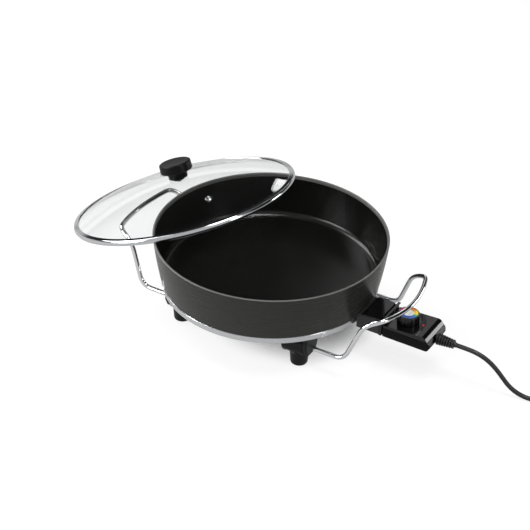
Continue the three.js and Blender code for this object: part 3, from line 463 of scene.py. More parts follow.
# %% The handles
ROD_RADIUS = 3.6
ROD_HEIGHT = 35
ROD_START = 84.01
ROD_KNEE = 181
ROD_RISE = 100
ROD_SHOULDER = 206
ROD_SHOULDER_Y = 79.49
GRIP_CORNER = Vector((233, 70.99, 113.8))
GRIP_MIDDLE = Vector((246.4, 0, 108.6))
GRIP_SHARES = (1, 0.66, 0.33)
ROD_BEND = 16
FOOT_SPAN_X = 105.71
FOOT_SPAN_Y = 88.39


def grip(share):
    return Vector((
        GRIP_MIDDLE.x + (GRIP_CORNER.x - GRIP_MIDDLE.x) * share ** 2,
        GRIP_CORNER.y * share,
        GRIP_MIDDLE.z + (GRIP_CORNER.z - GRIP_MIDDLE.z) * share ** 2,
    ))


half_handle = [
    Vector((ROD_START, FOOT_SPAN_Y, ROD_HEIGHT)), Vector((ROD_KNEE, FOOT_SPAN_Y, ROD_HEIGHT)),
    Vector((ROD_SHOULDER, ROD_SHOULDER_Y, ROD_RISE)), *(grip(share) for share in GRIP_SHARES),
]
handle_corners = half_handle + [grip(0)] + [point * mirror for point in reversed(half_handle)]
handle_path = bent(handle_corners, ROD_BEND)
for side, turn in (("right", 0), ("left", math.pi)):
    put(f"wire_handle_{side}", swept(handle_path, ROD_RADIUS, 24),
        on_pan @ Matrix.Rotation(turn, 4, "Z"), "pan", [f"handle_rod_{side}"])
print("handle path points:", len(handle_path))


# %% [markdown]
# Each foot is a moulded plastic cup with a rubber sole. It hangs under a saddle, a short fat
# cylinder round the handle's leg, and a flange stands up from the saddle's outer end to the base,
# where it is trimmed clear of the bright band.

# %% The feet and their brackets
FOOT_RADIUS = 15
FOOT_HEIGHT = 26
FOOT_TAPER = 1.6
FOOT_ROUND = 4.8
SOLE_RADIUS = 7
SOLE_STAND = 1
FOOT_LIP = 1
FOOT_EDGE = 0.6
BRACKET_RADIUS = 16.5
BRACKET_LENGTH = 46
FLANGE = 7
FLANGE_WIDTH = 36
BRACKET_NECK = 24
NECK_SHARE = 0.6
FLANGE_FOOT_SHARE = 0.34
BORE_START, BORE_END = 2, 60
STUD_START, STUD_END = 42, 80
BAND_CUT = 8
SOCKET_WALL = 2.4
SOCKET_CORNER = 3
SCREW_RADIUS = 2.2
bracket_top = recess - FIT
bracket_start = ROD_START - FIT - SOCKET_WALL

foot_profile = [(0, SOLE_STAND), (SOLE_RADIUS + FIT, SOLE_STAND), (SOLE_RADIUS + FIT, FIT)]
foot_profile += arc(FOOT_RADIUS - FOOT_TAPER - FOOT_ROUND, FOOT_ROUND + FIT, FOOT_ROUND, -90, 0)
foot_profile += [(FOOT_RADIUS, FOOT_HEIGHT - FOOT_LIP), (FOOT_RADIUS - FOOT_EDGE, FOOT_HEIGHT), (0, FOOT_HEIGHT)]
foot_mesh = turned(foot_profile, 64)

flange_start = BRACKET_LENGTH - FLANGE
saddle_end = flange_start + 1
saddle_profile = eased([(0, 0), (BRACKET_RADIUS, 0), (BRACKET_RADIUS, saddle_end), (0, saddle_end)], 4)
neck_half = BRACKET_RADIUS * NECK_SHARE
flange_levels = []
for z, half in ((FOOT_HEIGHT + FIT, FLANGE_WIDTH * FLANGE_FOOT_SHARE),
                (ROD_HEIGHT + ROD_RADIUS, FLANGE_WIDTH / 2), (bracket_top, FLANGE_WIDTH / 2)):
    flange_levels.append((z, flange_start, BRACKET_LENGTH, -half, half, SOCKET_WALL))
bracket_mesh = combined([
    along_x(turned(saddle_profile, 64), (0, 0, ROD_HEIGHT)),
    lofted([(z, FIT, BRACKET_NECK, -neck_half, neck_half, SOCKET_CORNER) for z in (ROD_HEIGHT, bracket_top)]),
    lofted(flange_levels),
])
band_cut = [(band_inside - FIT, base_bottom - FIT), (BAND_RADIUS + BAND_CUT, base_bottom - FIT),
            (BAND_RADIUS + BAND_CUT, base_top), (band_inside - FIT, base_top)]
bracket_mesh = combined([
    bracket_mesh,
    *(moved(turned(band_cut, FINE_STEPS), -bracket_start, y) for y in (-FOOT_SPAN_Y, FOOT_SPAN_Y)),
    along_x(bar(ROD_RADIUS + FIT, BORE_START, BORE_END), (0, 0, ROD_HEIGHT)),
    moved(bar(FOOT_RADIUS + OVERRUN, -OVERRUN, FOOT_HEIGHT + FIT, 64), FOOT_SPAN_X - bracket_start),
    moved(bar(SCREW_RADIUS + FIT, STUD_START, STUD_END, 24), BRACKET_NECK / 2),
], "DIFFERENCE")

corners = []
for end, turn in (("left", math.pi), ("right", 0)):
    for row, y in (("front", -FOOT_SPAN_Y), ("rear", FOOT_SPAN_Y)):
        corner = on_pan @ shift(0, y) @ Matrix.Rotation(turn, 4, "Z")
        name = f"{end}_{row}"
        corners.append(name)
        put(f"cup_foot_{name}", foot_mesh, corner @ shift(FOOT_SPAN_X), "pan", [f"foot_{name}"])
        bracket = put(f"saddle_bracket_{name}", bracket_mesh, corner @ shift(bracket_start), "pan",
                      [f"foot_bracket_{name}"])
        soften(bracket, 0.6, 2)
print("bracket faces:", len(bracket_mesh.polygons))


# %% [markdown]
# The socket is an open-mouthed moulding round the heating element's pins. A glossy plate covers it.

# %% The socket
SOCKET_WIDTH = 58
SOCKET_HEIGHT = 24
SOCKET_END = 206.5
COVER = 2.2
COVER_MARGIN = 2
COVER_SETBACK = 4
COVER_BEVEL = 0.7
COVER_DRAFT = 0.01
SCREW_SPREAD = 20
SEAL_RADIUS = 4.2
SEAL_DEPTH = 6
socket_top = PLUG_HEIGHT + SOCKET_HEIGHT / 2
socket_bottom = PLUG_HEIGHT - SOCKET_HEIGHT / 2
pan_side = wall_radius(socket_top) + FIT
seal_start = BAND_RADIUS + FIT
wall_end = seal_start + SOCKET_WALL + SEAL_DEPTH
half = SOCKET_WIDTH / 2


def box_along_x(x0, x1, inset, corner):
    """A rounded box round the pins' line, from one x to another."""
    edge = SOCKET_HEIGHT / 2 - inset
    return along_x(lofted([(x, -edge, edge, inset - half, half - inset, corner) for x in (x0, x1)]),
                   (0, 0, PLUG_HEIGHT))


def bores_along_x(radius, x0, x1, spread=0, z=PLUG_HEIGHT):
    """One hole in the middle, or two that stand a spread to either side of it."""
    return [along_x(bar(radius, x0, x1), (0, y, z)) for y in ((-spread, spread) if spread else (0,))]


housing_mesh = combined([
    box_along_x(BAND_RADIUS - OVERRUN, SOCKET_END, 0, SOCKET_CORNER),
    box_along_x(wall_end, SOCKET_END + OVERRUN, SOCKET_WALL, SOCKET_CORNER - SOCKET_WALL / 2),
    bar(pan_side, socket_bottom - OVERRUN, socket_top + OVERRUN, FINE_STEPS),
    *bores_along_x(SEAL_RADIUS + FIT, BAND_RADIUS, wall_end + OVERRUN, TERMINAL_SPREAD),
    *bores_along_x(SCREW_RADIUS + FIT, BAND_RADIUS, wall_end + OVERRUN, SCREW_SPREAD),
    *bores_along_x(PROBE_RADIUS + SLIP, BAND_RADIUS, wall_end + OVERRUN),
], "DIFFERENCE")
housing = put("socket_moulding", housing_mesh, on_pan, "pan", ["socket_housing"])
soften(housing, 0.4, 2)

cover_start = pan_side + COVER_SETBACK
cover_half = half - COVER_MARGIN
cover_levels = []
for lift, inset in eased([(0, COVER_DRAFT), (COVER - COVER_BEVEL, 0), (COVER, COVER_BEVEL)], 0.5, 3):
    cover_levels.append((socket_top + FIT + lift, cover_start + inset, SOCKET_END - inset,
                         -cover_half + inset, cover_half - inset, SOCKET_CORNER))
put("socket_plate", lofted(cover_levels), on_pan, "pan", ["socket_cover"])
print("housing faces:", len(housing_mesh.polygons))


# %% [markdown]
# The thermostat plug: an upright collar, a two-part case whose top climbs a little towards the lead
# and then slopes down, and inside it the switch that the probe works. The case is moulded, so its
# shell is hollow and its edges are soft. A wedge above it cuts both halves to the same slopes.

# %% The thermostat's collar and case
COLLAR = 4.5
COLLAR_RISE = 4.5
COLLAR_LEAN = 3
CASE_LENGTH = 80
CASE_WIDTH = 58
CASE_WALL = 2.2
CASE_RISE = 4
END_SLOPE = 10.5
END_DROP = 12.5
END_TUCK = 4
END_ROUND = 4.2
SIDE_TUCK = 1
TUCK_HEIGHT = 7
CASE_CORNER = 3.5
LEAST_CORNER = 0.6
SLEEVE_RADIUS = 3.7
DIAL_PLACE = 29
LAMP_PLACE = 54.6
SHAFT_RADIUS = 3
LAMP_RADIUS = 2.6
LAMP_HEIGHT = 1.2
RELIEF_ROOT = 7.2
RELIEF_GROOVE = 1.3
collar_start = SOCKET_END + FIT
case_start = collar_start + COLLAR + FIT
case_end = case_start + CASE_LENGTH
case_half = CASE_WIDTH / 2
case_top, case_bottom = socket_top, socket_bottom
split = PLUG_HEIGHT + SLEEVE_RADIUS + FIT * 2
shaft_x = case_start + DIAL_PLACE
lamp_x = case_start + LAMP_PLACE
relief_hole = RELIEF_ROOT - RELIEF_GROOVE
relief_z = split - relief_hole - FIT * 4

collar_top = case_top + COLLAR_RISE
collar_outline = [
    (collar_start, case_bottom), (collar_start + COLLAR, case_bottom), (collar_start + COLLAR, case_top),
    (collar_start + COLLAR + COLLAR_LEAN, collar_top), (collar_start + COLLAR_LEAN, collar_top),
    (collar_start, case_top),
]
slope_start = case_end - END_SLOPE


def across_case(outline, width):
    """An outline of (x, height) pairs drawn out to both sides."""
    return mesh_of_rings([[(x, y, z) for x, z in outline] for y in (-width, width)])


def plug_bores(x0, x1):
    """The holes that the contact sleeves and the probe go through."""
    return [*bores_along_x(SLEEVE_RADIUS + FIT, x0, x1, TERMINAL_SPREAD),
            *bores_along_x(PROBE_RADIUS + FIT, x0, x1)]


def case_top_at(x):
    return case_top - CASE_RISE * (slope_start - x) / (slope_start - case_start)


def above_case(depth):
    """Everything above the case, or above its hollow at a depth below its skin."""
    start, stop, ceiling = case_start - OVERRUN, case_end + OVERRUN, case_top + OVERRUN * 2
    first = (start, case_top_at(start) - depth)
    last = (stop - depth, case_top - depth - END_DROP * (stop - slope_start) / END_SLOPE)
    outline = eased([first, (slope_start - depth, case_top - depth), last], END_ROUND, 8)
    return across_case(outline + [(stop + OVERRUN, ceiling), (start, ceiling)], case_half + OVERRUN)


def case_level(z, wall, sides=0, end=0):
    across = case_half - wall - sides
    return (z, case_start + wall, case_end - wall - end, -across, across, max(CASE_CORNER - wall, LEAST_CORNER))


def hollow(*levels):
    """The room inside the case, which stays a wall's depth below its skin."""
    return combined([lofted(levels), above_case(CASE_WALL)], "DIFFERENCE")


collar_mesh = combined([
    across_case(collar_outline, half),
    *plug_bores(collar_start - OVERRUN, collar_start + COLLAR + COLLAR_LEAN + OVERRUN),
], "DIFFERENCE")
collar = put("thermostat_grip", collar_mesh, on_pan, "thermostat", ["thermostat_collar"])
soften(collar, 0.7)

upper_mesh = combined([
    lofted([case_level(split + FIT / 2, 0), case_level(case_top + OVERRUN, 0)]),
    above_case(0),
    hollow(case_level(split - OVERRUN, CASE_WALL), case_level(case_top + OVERRUN, CASE_WALL)),
    *(moved(bar(radius + FIT, case_top - OVERRUN * 2, case_top + OVERRUN), x)
      for radius, x in ((SHAFT_RADIUS, shaft_x), (LAMP_RADIUS, lamp_x))),
], "DIFFERENCE")
upper = put("thermostat_lid", upper_mesh, on_pan, "thermostat", ["thermostat_upper_case"])
soften(upper, 1.0, 4)

tuck_top = case_bottom + TUCK_HEIGHT
lower_mesh = combined([
    lofted([case_level(case_bottom, 0, SIDE_TUCK, END_TUCK), case_level(tuck_top, 0),
            case_level(split - FIT / 2, 0)]),
    above_case(0),
    hollow(case_level(case_bottom + CASE_WALL, CASE_WALL, SIDE_TUCK, END_TUCK),
           case_level(tuck_top + CASE_WALL, CASE_WALL), case_level(split + OVERRUN, CASE_WALL)),
    *plug_bores(case_start - OVERRUN, case_start + CASE_WALL + OVERRUN),
    *bores_along_x(relief_hole + FIT, slope_start, case_end + OVERRUN, z=relief_z),
], "DIFFERENCE")
lower = put("thermostat_tray", lower_mesh, on_pan, "thermostat", ["thermostat_lower_case"])
soften(lower, 1.2, 3)

lamp_seat = case_top_at(lamp_x)
lamp_mesh = turned(eased([
    (0, lamp_seat - CASE_WALL), (LAMP_RADIUS, lamp_seat - CASE_WALL), (LAMP_RADIUS, lamp_seat + LAMP_HEIGHT * 0.5),
    (LAMP_RADIUS * 0.7, lamp_seat + LAMP_HEIGHT), (0, lamp_seat + LAMP_HEIGHT)], 0.8), 48)
put("pilot_lens", moved(lamp_mesh, lamp_x), on_pan, "thermostat", ["pilot_lamp"])
print("case faces:", len(upper_mesh.polygons), len(lower_mesh.polygons))


# %% [markdown]
# The dial: twenty soft flutes round its skirt, a chamfer, and a printed scale let into the top.
# The ribbed strain relief follows, moulded on to the lead.

# %% The dial and the strain relief
DIAL_RADIUS = 17
DIAL_HEIGHT = 14
DIAL_EDGE = 0.5
DIAL_FLUTES = 20
DIAL_STEPS = DIAL_FLUTES * 16
FLUTE_DEPTH = 0.7
FLUTE_SOFTNESS = 0.7
SCALE_RADIUS = 14.6
SCALE = 0.8
SCALE_EDGE = 0.15
SHAFT_DEPTH = 9
dial_bottom = case_top_at(shaft_x + DIAL_RADIUS) + FIT
dial_top = dial_bottom + DIAL_HEIGHT
dial_profile = [
    (0, dial_bottom + SHAFT_DEPTH, 0), (SHAFT_RADIUS + FIT, dial_bottom + SHAFT_DEPTH, 0),
    (SHAFT_RADIUS + FIT, dial_bottom, 0), (DIAL_RADIUS - DIAL_EDGE, dial_bottom, 1),
    (DIAL_RADIUS, dial_bottom + DIAL_EDGE, 1), (DIAL_RADIUS, dial_top - FLUTE_DEPTH * 2.4, 1),
    (DIAL_RADIUS - FLUTE_DEPTH * 0.4, dial_top - FLUTE_DEPTH * 1.4, 0.7),
    (DIAL_RADIUS - FLUTE_DEPTH, dial_top - FLUTE_DEPTH * 0.5, 0.15),
    (DIAL_RADIUS - FLUTE_DEPTH * 1.6, dial_top, 0), (SCALE_RADIUS + FIT, dial_top, 0),
    (SCALE_RADIUS + FIT, dial_top - SCALE - FIT, 0), (0, dial_top - SCALE - FIT, 0),
]
dial_rings = []
for radius, z, flute in dial_profile:
    ring = []
    for angle in span(0, 2 * math.pi, DIAL_STEPS)[:-1]:
        groove = FLUTE_DEPTH * max(0, -math.cos(DIAL_FLUTES * angle)) ** FLUTE_SOFTNESS
        at = radius - groove * flute if radius else 0
        ring.append((at * math.cos(angle), at * math.sin(angle), z))
    dial_rings.append(ring)
on_shaft = on_pan @ shift(shaft_x)
put("fluted_dial", mesh_of_rings(dial_rings), on_shaft, "dial", ["dial"])
scale_profile = [(0, dial_top - SCALE), (SCALE_RADIUS, dial_top - SCALE), (SCALE_RADIUS, dial_top - SCALE_EDGE),
                 (SCALE_RADIUS - SCALE_EDGE, dial_top), (0, dial_top)]
put("scale_disc", turned(scale_profile, 96), on_shaft, "dial", ["dial_scale"])

RELIEF_LENGTH = 33
RELIEF_RIBS = 7
FIRST_RIB = 9.2
LAST_RIB = 7.0
RIB_DEPTH = 3.2
RIB_SHARE = 0.5
GROOVE_SHARES = (0.6, 0.92)
relief_start = case_end - CASE_WALL
relief_stop = relief_start + RELIEF_LENGTH
pitch = (relief_stop - case_end - FIT) / (RELIEF_RIBS + 0.5)
relief_profile = [(0, relief_start - CASE_WALL), (relief_hole, relief_start - CASE_WALL),
                  (relief_hole, case_end + FIT)]
for i in range(RELIEF_RIBS):
    radius = FIRST_RIB + (LAST_RIB - FIRST_RIB) * i / (RELIEF_RIBS - 1)
    start = case_end + FIT + i * pitch
    groove = max(radius - RIB_DEPTH, CORD_RADIUS + FIT * 2)
    relief_profile += [(radius, start), (radius, start + pitch * RIB_SHARE),
                       *((groove, start + pitch * share) for share in GROOVE_SHARES)]
relief_profile += [(CORD_RADIUS + FIT, relief_stop), (0, relief_stop)]
relief_mesh = along_x(turned(eased(relief_profile, 0.5, 3), 48), (0, 0, relief_z))
put("ribbed_relief", relief_mesh, on_pan, "thermostat", ["strain_relief"])
print("relief ends at", round(relief_stop, 2), "and the frame says", round(relief_end, 2))


# %% [markdown]
# The mains plug. It is on the lead, so it goes with it.

# %% The plug
PLUG_NECK = 24
PLUG_BODY = 30
PLUG_NECK_RADIUS = 6.5
PLUG_WAIST_RADIUS = 7.8
PLUG_SHOULDER_RADIUS = 11.5
PLUG_PIN_RADIUS = 2.4
PLUG_PIN_SPREAD = 9.5
plug_profile = eased([
    (0, 0), (PLUG_NECK_RADIUS, 0), (PLUG_WAIST_RADIUS, PLUG_NECK / 2), (PLUG_SHOULDER_RADIUS, PLUG_NECK),
    (PLUG_RADIUS - SOCKET_CORNER, PLUG_NECK + SOCKET_CORNER), (PLUG_RADIUS, PLUG_NECK + SOCKET_CORNER * 2),
    (PLUG_RADIUS, PLUG_NECK + PLUG_BODY), (0, PLUG_NECK + PLUG_BODY)], 2, 5)
plug_mesh = combined([turned(plug_profile, 96), *(
    moved(bar(PLUG_PIN_RADIUS + FIT, PLUG_NECK, PLUG_NECK + PLUG_BODY + OVERRUN, 24), place)
    for place in (-PLUG_PIN_SPREAD, PLUG_PIN_SPREAD))], "DIFFERENCE")
plug_place = on_pan @ shift(*plug_entry) @ Matrix.Rotation(-math.pi / 2, 4, "X")
plug = put("lead_plug", plug_mesh, plug_place, "thermostat", ["mains_plug"])
print("plug at", [round(v, 1) for v in plug_entry])


# %% [markdown]
# The lid: a shallow dome of toughened glass in a rolled steel band. The knob is bolted through
# the crown, and a small grommet lets the steam out. All of it is made in the lid's own frame.

# %% The lid
LID_RADIUS = 183.6
LID_BAND_HEIGHT = 8.5
LID_BAND_WIDTH = 9
LID_BAND_WALL = 0.9
LID_BAND_BULGE = 1.8
ROLL_STEPS = 12
GLASS = 4
GLASS_RISE = 37
DOME_STEPS = 40
KNOB_RADIUS = 26.4
KNOB_HEIGHT = 15
KNOB_DISH = 1.2
STEM_RADIUS = 16.4
STEM_FOOT = 15.4
STEM_HEIGHT = 11
KNOB_SCREW = 2.4
SCREW_COVER_SHARE = 0.3
VENT_RADIUS = 3.2
VENT_PLACE = 113.8
VENT_ANGLE = -0.5515
GROMMET_RADIUS = 6
GROMMET_FLANGE = 1
GROMMET_EDGE = 0.3
glass_edge = LID_RADIUS - LID_BAND_WALL - FIT
glass_foot = LID_BAND_WALL + FIT
crown = glass_foot + GLASS_RISE + GLASS
dome = (glass_edge ** 2 + GLASS_RISE ** 2) / (2 * GLASS_RISE)


def dome_height(radius):
    return glass_foot + GLASS_RISE - dome + math.sqrt(dome ** 2 - radius ** 2)


under = [(r, dome_height(r)) for r in span(0, glass_edge, DOME_STEPS)]
over = [(r, z + GLASS) for r, z in reversed(under)]
vent_x, vent_y = VENT_PLACE * math.cos(VENT_ANGLE), VENT_PLACE * math.sin(VENT_ANGLE)
glass_mesh = combined([
    turned(under + over, FINE_STEPS),
    bar(KNOB_SCREW + FIT, 0, crown + OVERRUN),
    moved(bar(VENT_RADIUS + FIT, 0, crown + OVERRUN), vent_x, vent_y),
], "DIFFERENCE")
put("glass_dome", glass_mesh, on_lid, "lid", ["lid_glass"])

inner = LID_RADIUS - LID_BAND_WIDTH
under_glass = dome_height(inner) - FIT
over_glass = dome_height(inner) + GLASS + FIT
rolled_side = [(LID_RADIUS - LID_BAND_BULGE * share ** 2, LID_BAND_HEIGHT * (1 + share) / 2)
               for share in span(-1, 1, ROLL_STEPS)]
band_profile = [
    (inner, under_glass - LID_BAND_WALL), *rolled_side, (inner + LID_BAND_WALL, over_glass + LID_BAND_WALL),
    (inner, over_glass), (LID_RADIUS - LID_BAND_WALL, glass_foot + GLASS + FIT),
    (LID_RADIUS - LID_BAND_WALL, glass_foot + FIT), (LID_RADIUS - LID_BAND_BULGE - FIT, glass_foot - FIT),
    (inner, under_glass),
]
band = put("steel_band", turned(band_profile, FINE_STEPS), on_lid, "lid", ["lid_band"])
soften(band, 0.8)

stem_bottom = crown + FIT
stem_top = stem_bottom + STEM_HEIGHT
stem_profile = eased([(STEM_FOOT, stem_bottom), (STEM_RADIUS, stem_top)], 2, 4)
stem_loop = [(KNOB_SCREW + FIT, stem_bottom), *stem_profile, (KNOB_SCREW + FIT, stem_top)]
knob_bottom = stem_top + FIT
knob_top = knob_bottom + KNOB_HEIGHT
screw_top = knob_top - KNOB_HEIGHT * SCREW_COVER_SHARE - FIT
cap_profile = [(0, screw_top + FIT), (KNOB_SCREW + FIT, screw_top + FIT), (KNOB_SCREW + FIT, knob_bottom)]
cap_profile += eased([(SHAFT_RADIUS, knob_bottom), (KNOB_RADIUS - KNOB_DISH, knob_bottom),
                      (KNOB_RADIUS, knob_bottom + KNOB_DISH), (KNOB_RADIUS - KNOB_DISH / 2, knob_top - KNOB_DISH),
                      (KNOB_RADIUS - KNOB_DISH * 2, knob_top),
                      (KNOB_RADIUS * 0.6, knob_top - KNOB_DISH * 0.4)], KNOB_DISH, 5)
cap_profile += [(KNOB_RADIUS * 0.3, knob_top - KNOB_DISH * 0.5), (0, knob_top - KNOB_DISH * 0.52)]
put("knob_post", turned(stem_loop, 96), on_lid, "lid", ["knob_stem"])
put("knob_disc", turned(cap_profile, 128), on_lid, "lid", ["knob_cap"])

flange = GLASS / 2 + FIT + GROMMET_FLANGE
neck = VENT_RADIUS - SLIP / 2
grommet_profile = [
    (neck - GROMMET_FLANGE, -flange), (GROMMET_RADIUS - GROMMET_EDGE, -flange),
    (GROMMET_RADIUS, -flange + GROMMET_EDGE), (GROMMET_RADIUS, -flange + GROMMET_FLANGE),
    (neck, -flange + GROMMET_FLANGE), (neck, flange - GROMMET_FLANGE),
    (GROMMET_RADIUS, flange - GROMMET_FLANGE), (GROMMET_RADIUS, flange - GROMMET_FLANGE * 0.5),
    (GROMMET_RADIUS - GROMMET_EDGE * 2, flange), (neck - GROMMET_FLANGE * 0.5, flange),
    (neck - GROMMET_FLANGE, flange - GROMMET_FLANGE * 0.4),
]
vent_point = Vector((vent_x, vent_y, dome_height(VENT_PLACE) + GLASS / 2))
vent_out = Vector((vent_x, vent_y, dome_height(VENT_PLACE) - glass_foot - GLASS_RISE + dome)).normalized()
vent_place = on_lid @ shift(*vent_point) @ Vector((0, 0, 1)).rotation_difference(vent_out).to_matrix().to_4x4()
put("steam_grommet", turned(grommet_profile, 64), vent_place, "lid", ["vent_grommet"])
print("glass faces:", len(glass_mesh.polygons))


# %% [markdown]
# Finishes. Each is named for its real material and written in sRGB as it would be measured, except
# the socket's black, which is lightened into a painted reflection of the white table.
# Nothing real is perfectly even, so each has a fine pattern in its roughness and, where the
# surface is moulded, rolled or turned, a shallow relief. The patterns are sized in millimetres.

# %% Helpers: materials
SHADER = "Principled BSDF"


def linear(hex_colour):
    channels = [int(hex_colour[i:i + 2], 16) / 255 for i in (1, 3, 5)]
    return [c / 12.92 if c <= 0.04045 else ((c + 0.055) / 1.055) ** 2.4 for c in channels] + [1]


def feed(material, name, inputs):
    """Gives inputs of the named node what they take: a node's first output, any output or a value."""
    for key, source in inputs.items():
        socket = material.node_tree.nodes[name].inputs[key]
        if isinstance(source, bpy.types.Node):
            source = source.outputs[0]
        if isinstance(source, bpy.types.NodeSocket):
            material.node_tree.links.new(source, socket)
        else:
            socket.default_value = source


def node(material, kind, inputs=None, **settings):
    """Adds a node, sets its properties or sockets, and feeds its inputs."""
    made = material.node_tree.nodes.new(kind)
    for name, value in settings.items():
        if hasattr(made, name):
            setattr(made, name, value)
        else:
            made.inputs[name.replace("_", " ")].default_value = value
    feed(material, made.name, inputs or {})
    return made


def finish(name, colour, roughness, metallic=0, ior=1.5, wear=0.06, grain=0.6, relief=0, stretch=(1, 1, 1)):
    """A surface whose roughness varies by wear over spots of the grain's size in mm."""
    material = bpy.data.materials.new(name)
    material.use_nodes = True
    feed(material, SHADER, {"Base Color": linear(colour), "Metallic": metallic})
    if not metallic:
        feed(material, SHADER, {"IOR": ior})
    place = node(material, "ShaderNodeTexCoord")
    frame_of_piece = node(material, "ShaderNodeMapping", {"Vector": place.outputs["Object"]}, Scale=stretch)
    noise = node(material, "ShaderNodeTexNoise", {"Vector": frame_of_piece}, Scale=1 / (grain * MM), Detail=3.0)
    spread = node(material, "ShaderNodeMapRange", {"Value": noise}, From_Min=0.3, From_Max=0.7,
                  To_Min=max(roughness - wear, 0.02), To_Max=roughness + wear)
    feed(material, SHADER, {"Roughness": spread})
    if relief:
        bump = node(material, "ShaderNodeBump", {"Height": noise}, Strength=0.5, Distance=relief * MM)
        feed(material, SHADER, {"Normal": bump})
    return material


def turned_finish(material, amount):
    """Fine circular tool marks: they draw every reflection out along the axis of turning."""
    tangent = node(material, "ShaderNodeTangent", direction_type="RADIAL", axis="Z")
    feed(material, SHADER, {"Anisotropic": amount, "Anisotropic Rotation": 0.25, "Tangent": tangent})


print("material helpers ready")


# %% [markdown]
# The finishes themselves. Black comes in several kinds, because each moulding takes the light in its
# own way. The glass lets through the light that would otherwise leave the pan under it dark.

# %% The finishes
coating_in = finish("nonstick coating inside", "#090908", 0.24, ior=1.36, wear=0.03, grain=1.2, relief=0.002)
coating_out = finish("satin coating outside", "#242422", 0.26, ior=1.3, wear=0.05, grain=2.0, relief=0.02,
                     stretch=(0.05, 0.05, 4))
bare_rim = finish("rim rubbed to grey", "#525250", 0.4, grain=0.8)
machined = finish("machined aluminium", "#d4d5d7", 0.22, metallic=1, grain=1.5, stretch=(0.1, 0.1, 6), relief=0.004)
turned_finish(coating_out, 0.7)
turned_finish(machined, 0.7)
chrome = finish("chromed steel", "#e9eaec", 0.05, metallic=1, wear=0.02, grain=6)
stainless = finish("stainless steel", "#d3d5d7", 0.09, metallic=1, wear=0.03, grain=1.5, stretch=(0.2, 0.2, 3))
pin_steel = finish("plated pin steel", "#b9bbbd", 0.25, metallic=1, grain=0.8)
gloss_black = finish("glossy black plastic", "#080809", 0.12, wear=0.04, grain=1.2, relief=0.002)
knob_black = finish("satin black phenolic", "#070708", 0.32, ior=1.22, wear=0.03, grain=2, relief=0.001)
matt_black = finish("black moulded plastic", "#070707", 0.36, ior=1.33, grain=0.4, relief=0.02)
# Black phenolic lightened to dark grey all over: a painted reflection of the white table, which the socket's near
# face would show.
phenolic_with_painted_reflection = finish("black phenolic with painted reflection", "#232323", 0.45, grain=0.5, relief=0.02)
tray_black = finish("deep black plastic", "#040404", 0.2, ior=1.22, grain=0.5, relief=0.004)
rubber = finish("black rubber", "#101011", 0.34, grain=0.4, relief=0.02)
lead_black = finish("black lead sheath", "#131314", 0.42, grain=0.8, relief=0.01)
brass = finish("spring brass", "#c7a55a", 0.28, metallic=1, grain=0.7)
red_lens = finish("red lens", "#86262b", 0.14, wear=0.04, grain=1.5)
feed(red_lens, SHADER, {"Transmission Weight": 0.2})

GLASS_SHADOW = 0.92
clear = finish("clear toughened glass", "#fdfefe", 0.0, ior=1.46, wear=0.0, grain=20)
feed(clear, SHADER, {"Transmission Weight": 1})
shadow_path = node(clear, "ShaderNodeLightPath")
see_through = node(clear, "ShaderNodeBsdfTransparent", Color=(GLASS_SHADOW, GLASS_SHADOW, GLASS_SHADOW, 1))
unlit = node(clear, "ShaderNodeMath", {0: shadow_path.outputs["Is Shadow Ray"],
                                       1: shadow_path.outputs["Is Diffuse Ray"]}, operation="MAXIMUM")
glass_mix = node(clear, "ShaderNodeMixShader", {0: unlit, 1: clear.node_tree.nodes[SHADER], 2: see_through})
feed(clear, "Material Output", {"Surface": glass_mix})
print("materials:", len(bpy.data.materials))


# %% [markdown]
# The dial's scale is printed: a ring of colour from cool to hot round a white middle. It is drawn
# from the angle round the disc and the distance from its axis.

# %% The printed scale
SCALE_WHITE = "#f2f2ee"
SCALE_COLOURS = ((0.0, "#8a2a5c"), (0.09, "#33356f"), (0.16, "#2a4f9e"), (0.44, "#2c5aa8"), (0.5, "#3f9a58"),
                 (0.55, "#e6c52c"), (0.63, "#e8c02c"), (0.7, "#ee8a24"), (0.78, "#dc4a2c"), (0.9, "#a83058"))
RING_INNER = 8.2


def fill_ramp(ramp, stops):
    """Puts colours at their places along a ramp, which has two to begin with."""
    for stop in stops[2:]:
        ramp.elements.new(stop[0])
    for element, (place, colour) in zip(ramp.elements, stops):
        element.position = place
        element.color = colour


printed = finish("printed scale", SCALE_WHITE, 0.3)
place = node(printed, "ShaderNodeTexCoord")
parts = node(printed, "ShaderNodeSeparateXYZ", {0: place.outputs["Object"]})
angle = node(printed, "ShaderNodeMath", {0: parts.outputs["Y"], 1: parts.outputs["X"]}, operation="ARCTAN2")
round_share = node(printed, "ShaderNodeMapRange", {"Value": angle}, From_Min=-math.pi, From_Max=math.pi)
colours = node(printed, "ShaderNodeValToRGB", {"Fac": round_share})
fill_ramp(colours.color_ramp, [(share, linear(colour)) for share, colour in SCALE_COLOURS])
flat = node(printed, "ShaderNodeCombineXYZ", {0: parts.outputs["X"], 1: parts.outputs["Y"]})
radius = node(printed, "ShaderNodeVectorMath", {0: flat}, operation="LENGTH")
middle = node(printed, "ShaderNodeMath", {0: radius.outputs["Value"], 1: RING_INNER * MM}, operation="LESS_THAN")
paint = node(printed, "ShaderNodeMix", {0: middle, 6: colours, 7: linear(SCALE_WHITE)}, data_type="RGBA")
feed(printed, SHADER, {"Base Color": paint.outputs[2]})
print("scale colours:", len(SCALE_COLOURS))


# %% [markdown]
# A table says which finish each piece wears. Some are plain solids of the construction that stay
# as they are, such as pins and screws. The four feet share one mesh, and so do the four brackets.

# %% Each piece gets its finish
ROUND_FACES = 60


def dress(piece, *materials):
    # Clearing the list would set every face back to the first finish, so its places are filled one by one.
    worn = piece.data.materials
    for place, material in enumerate(materials):
        if place < len(worn):
            worn[place] = material
        else:
            worn.append(material)


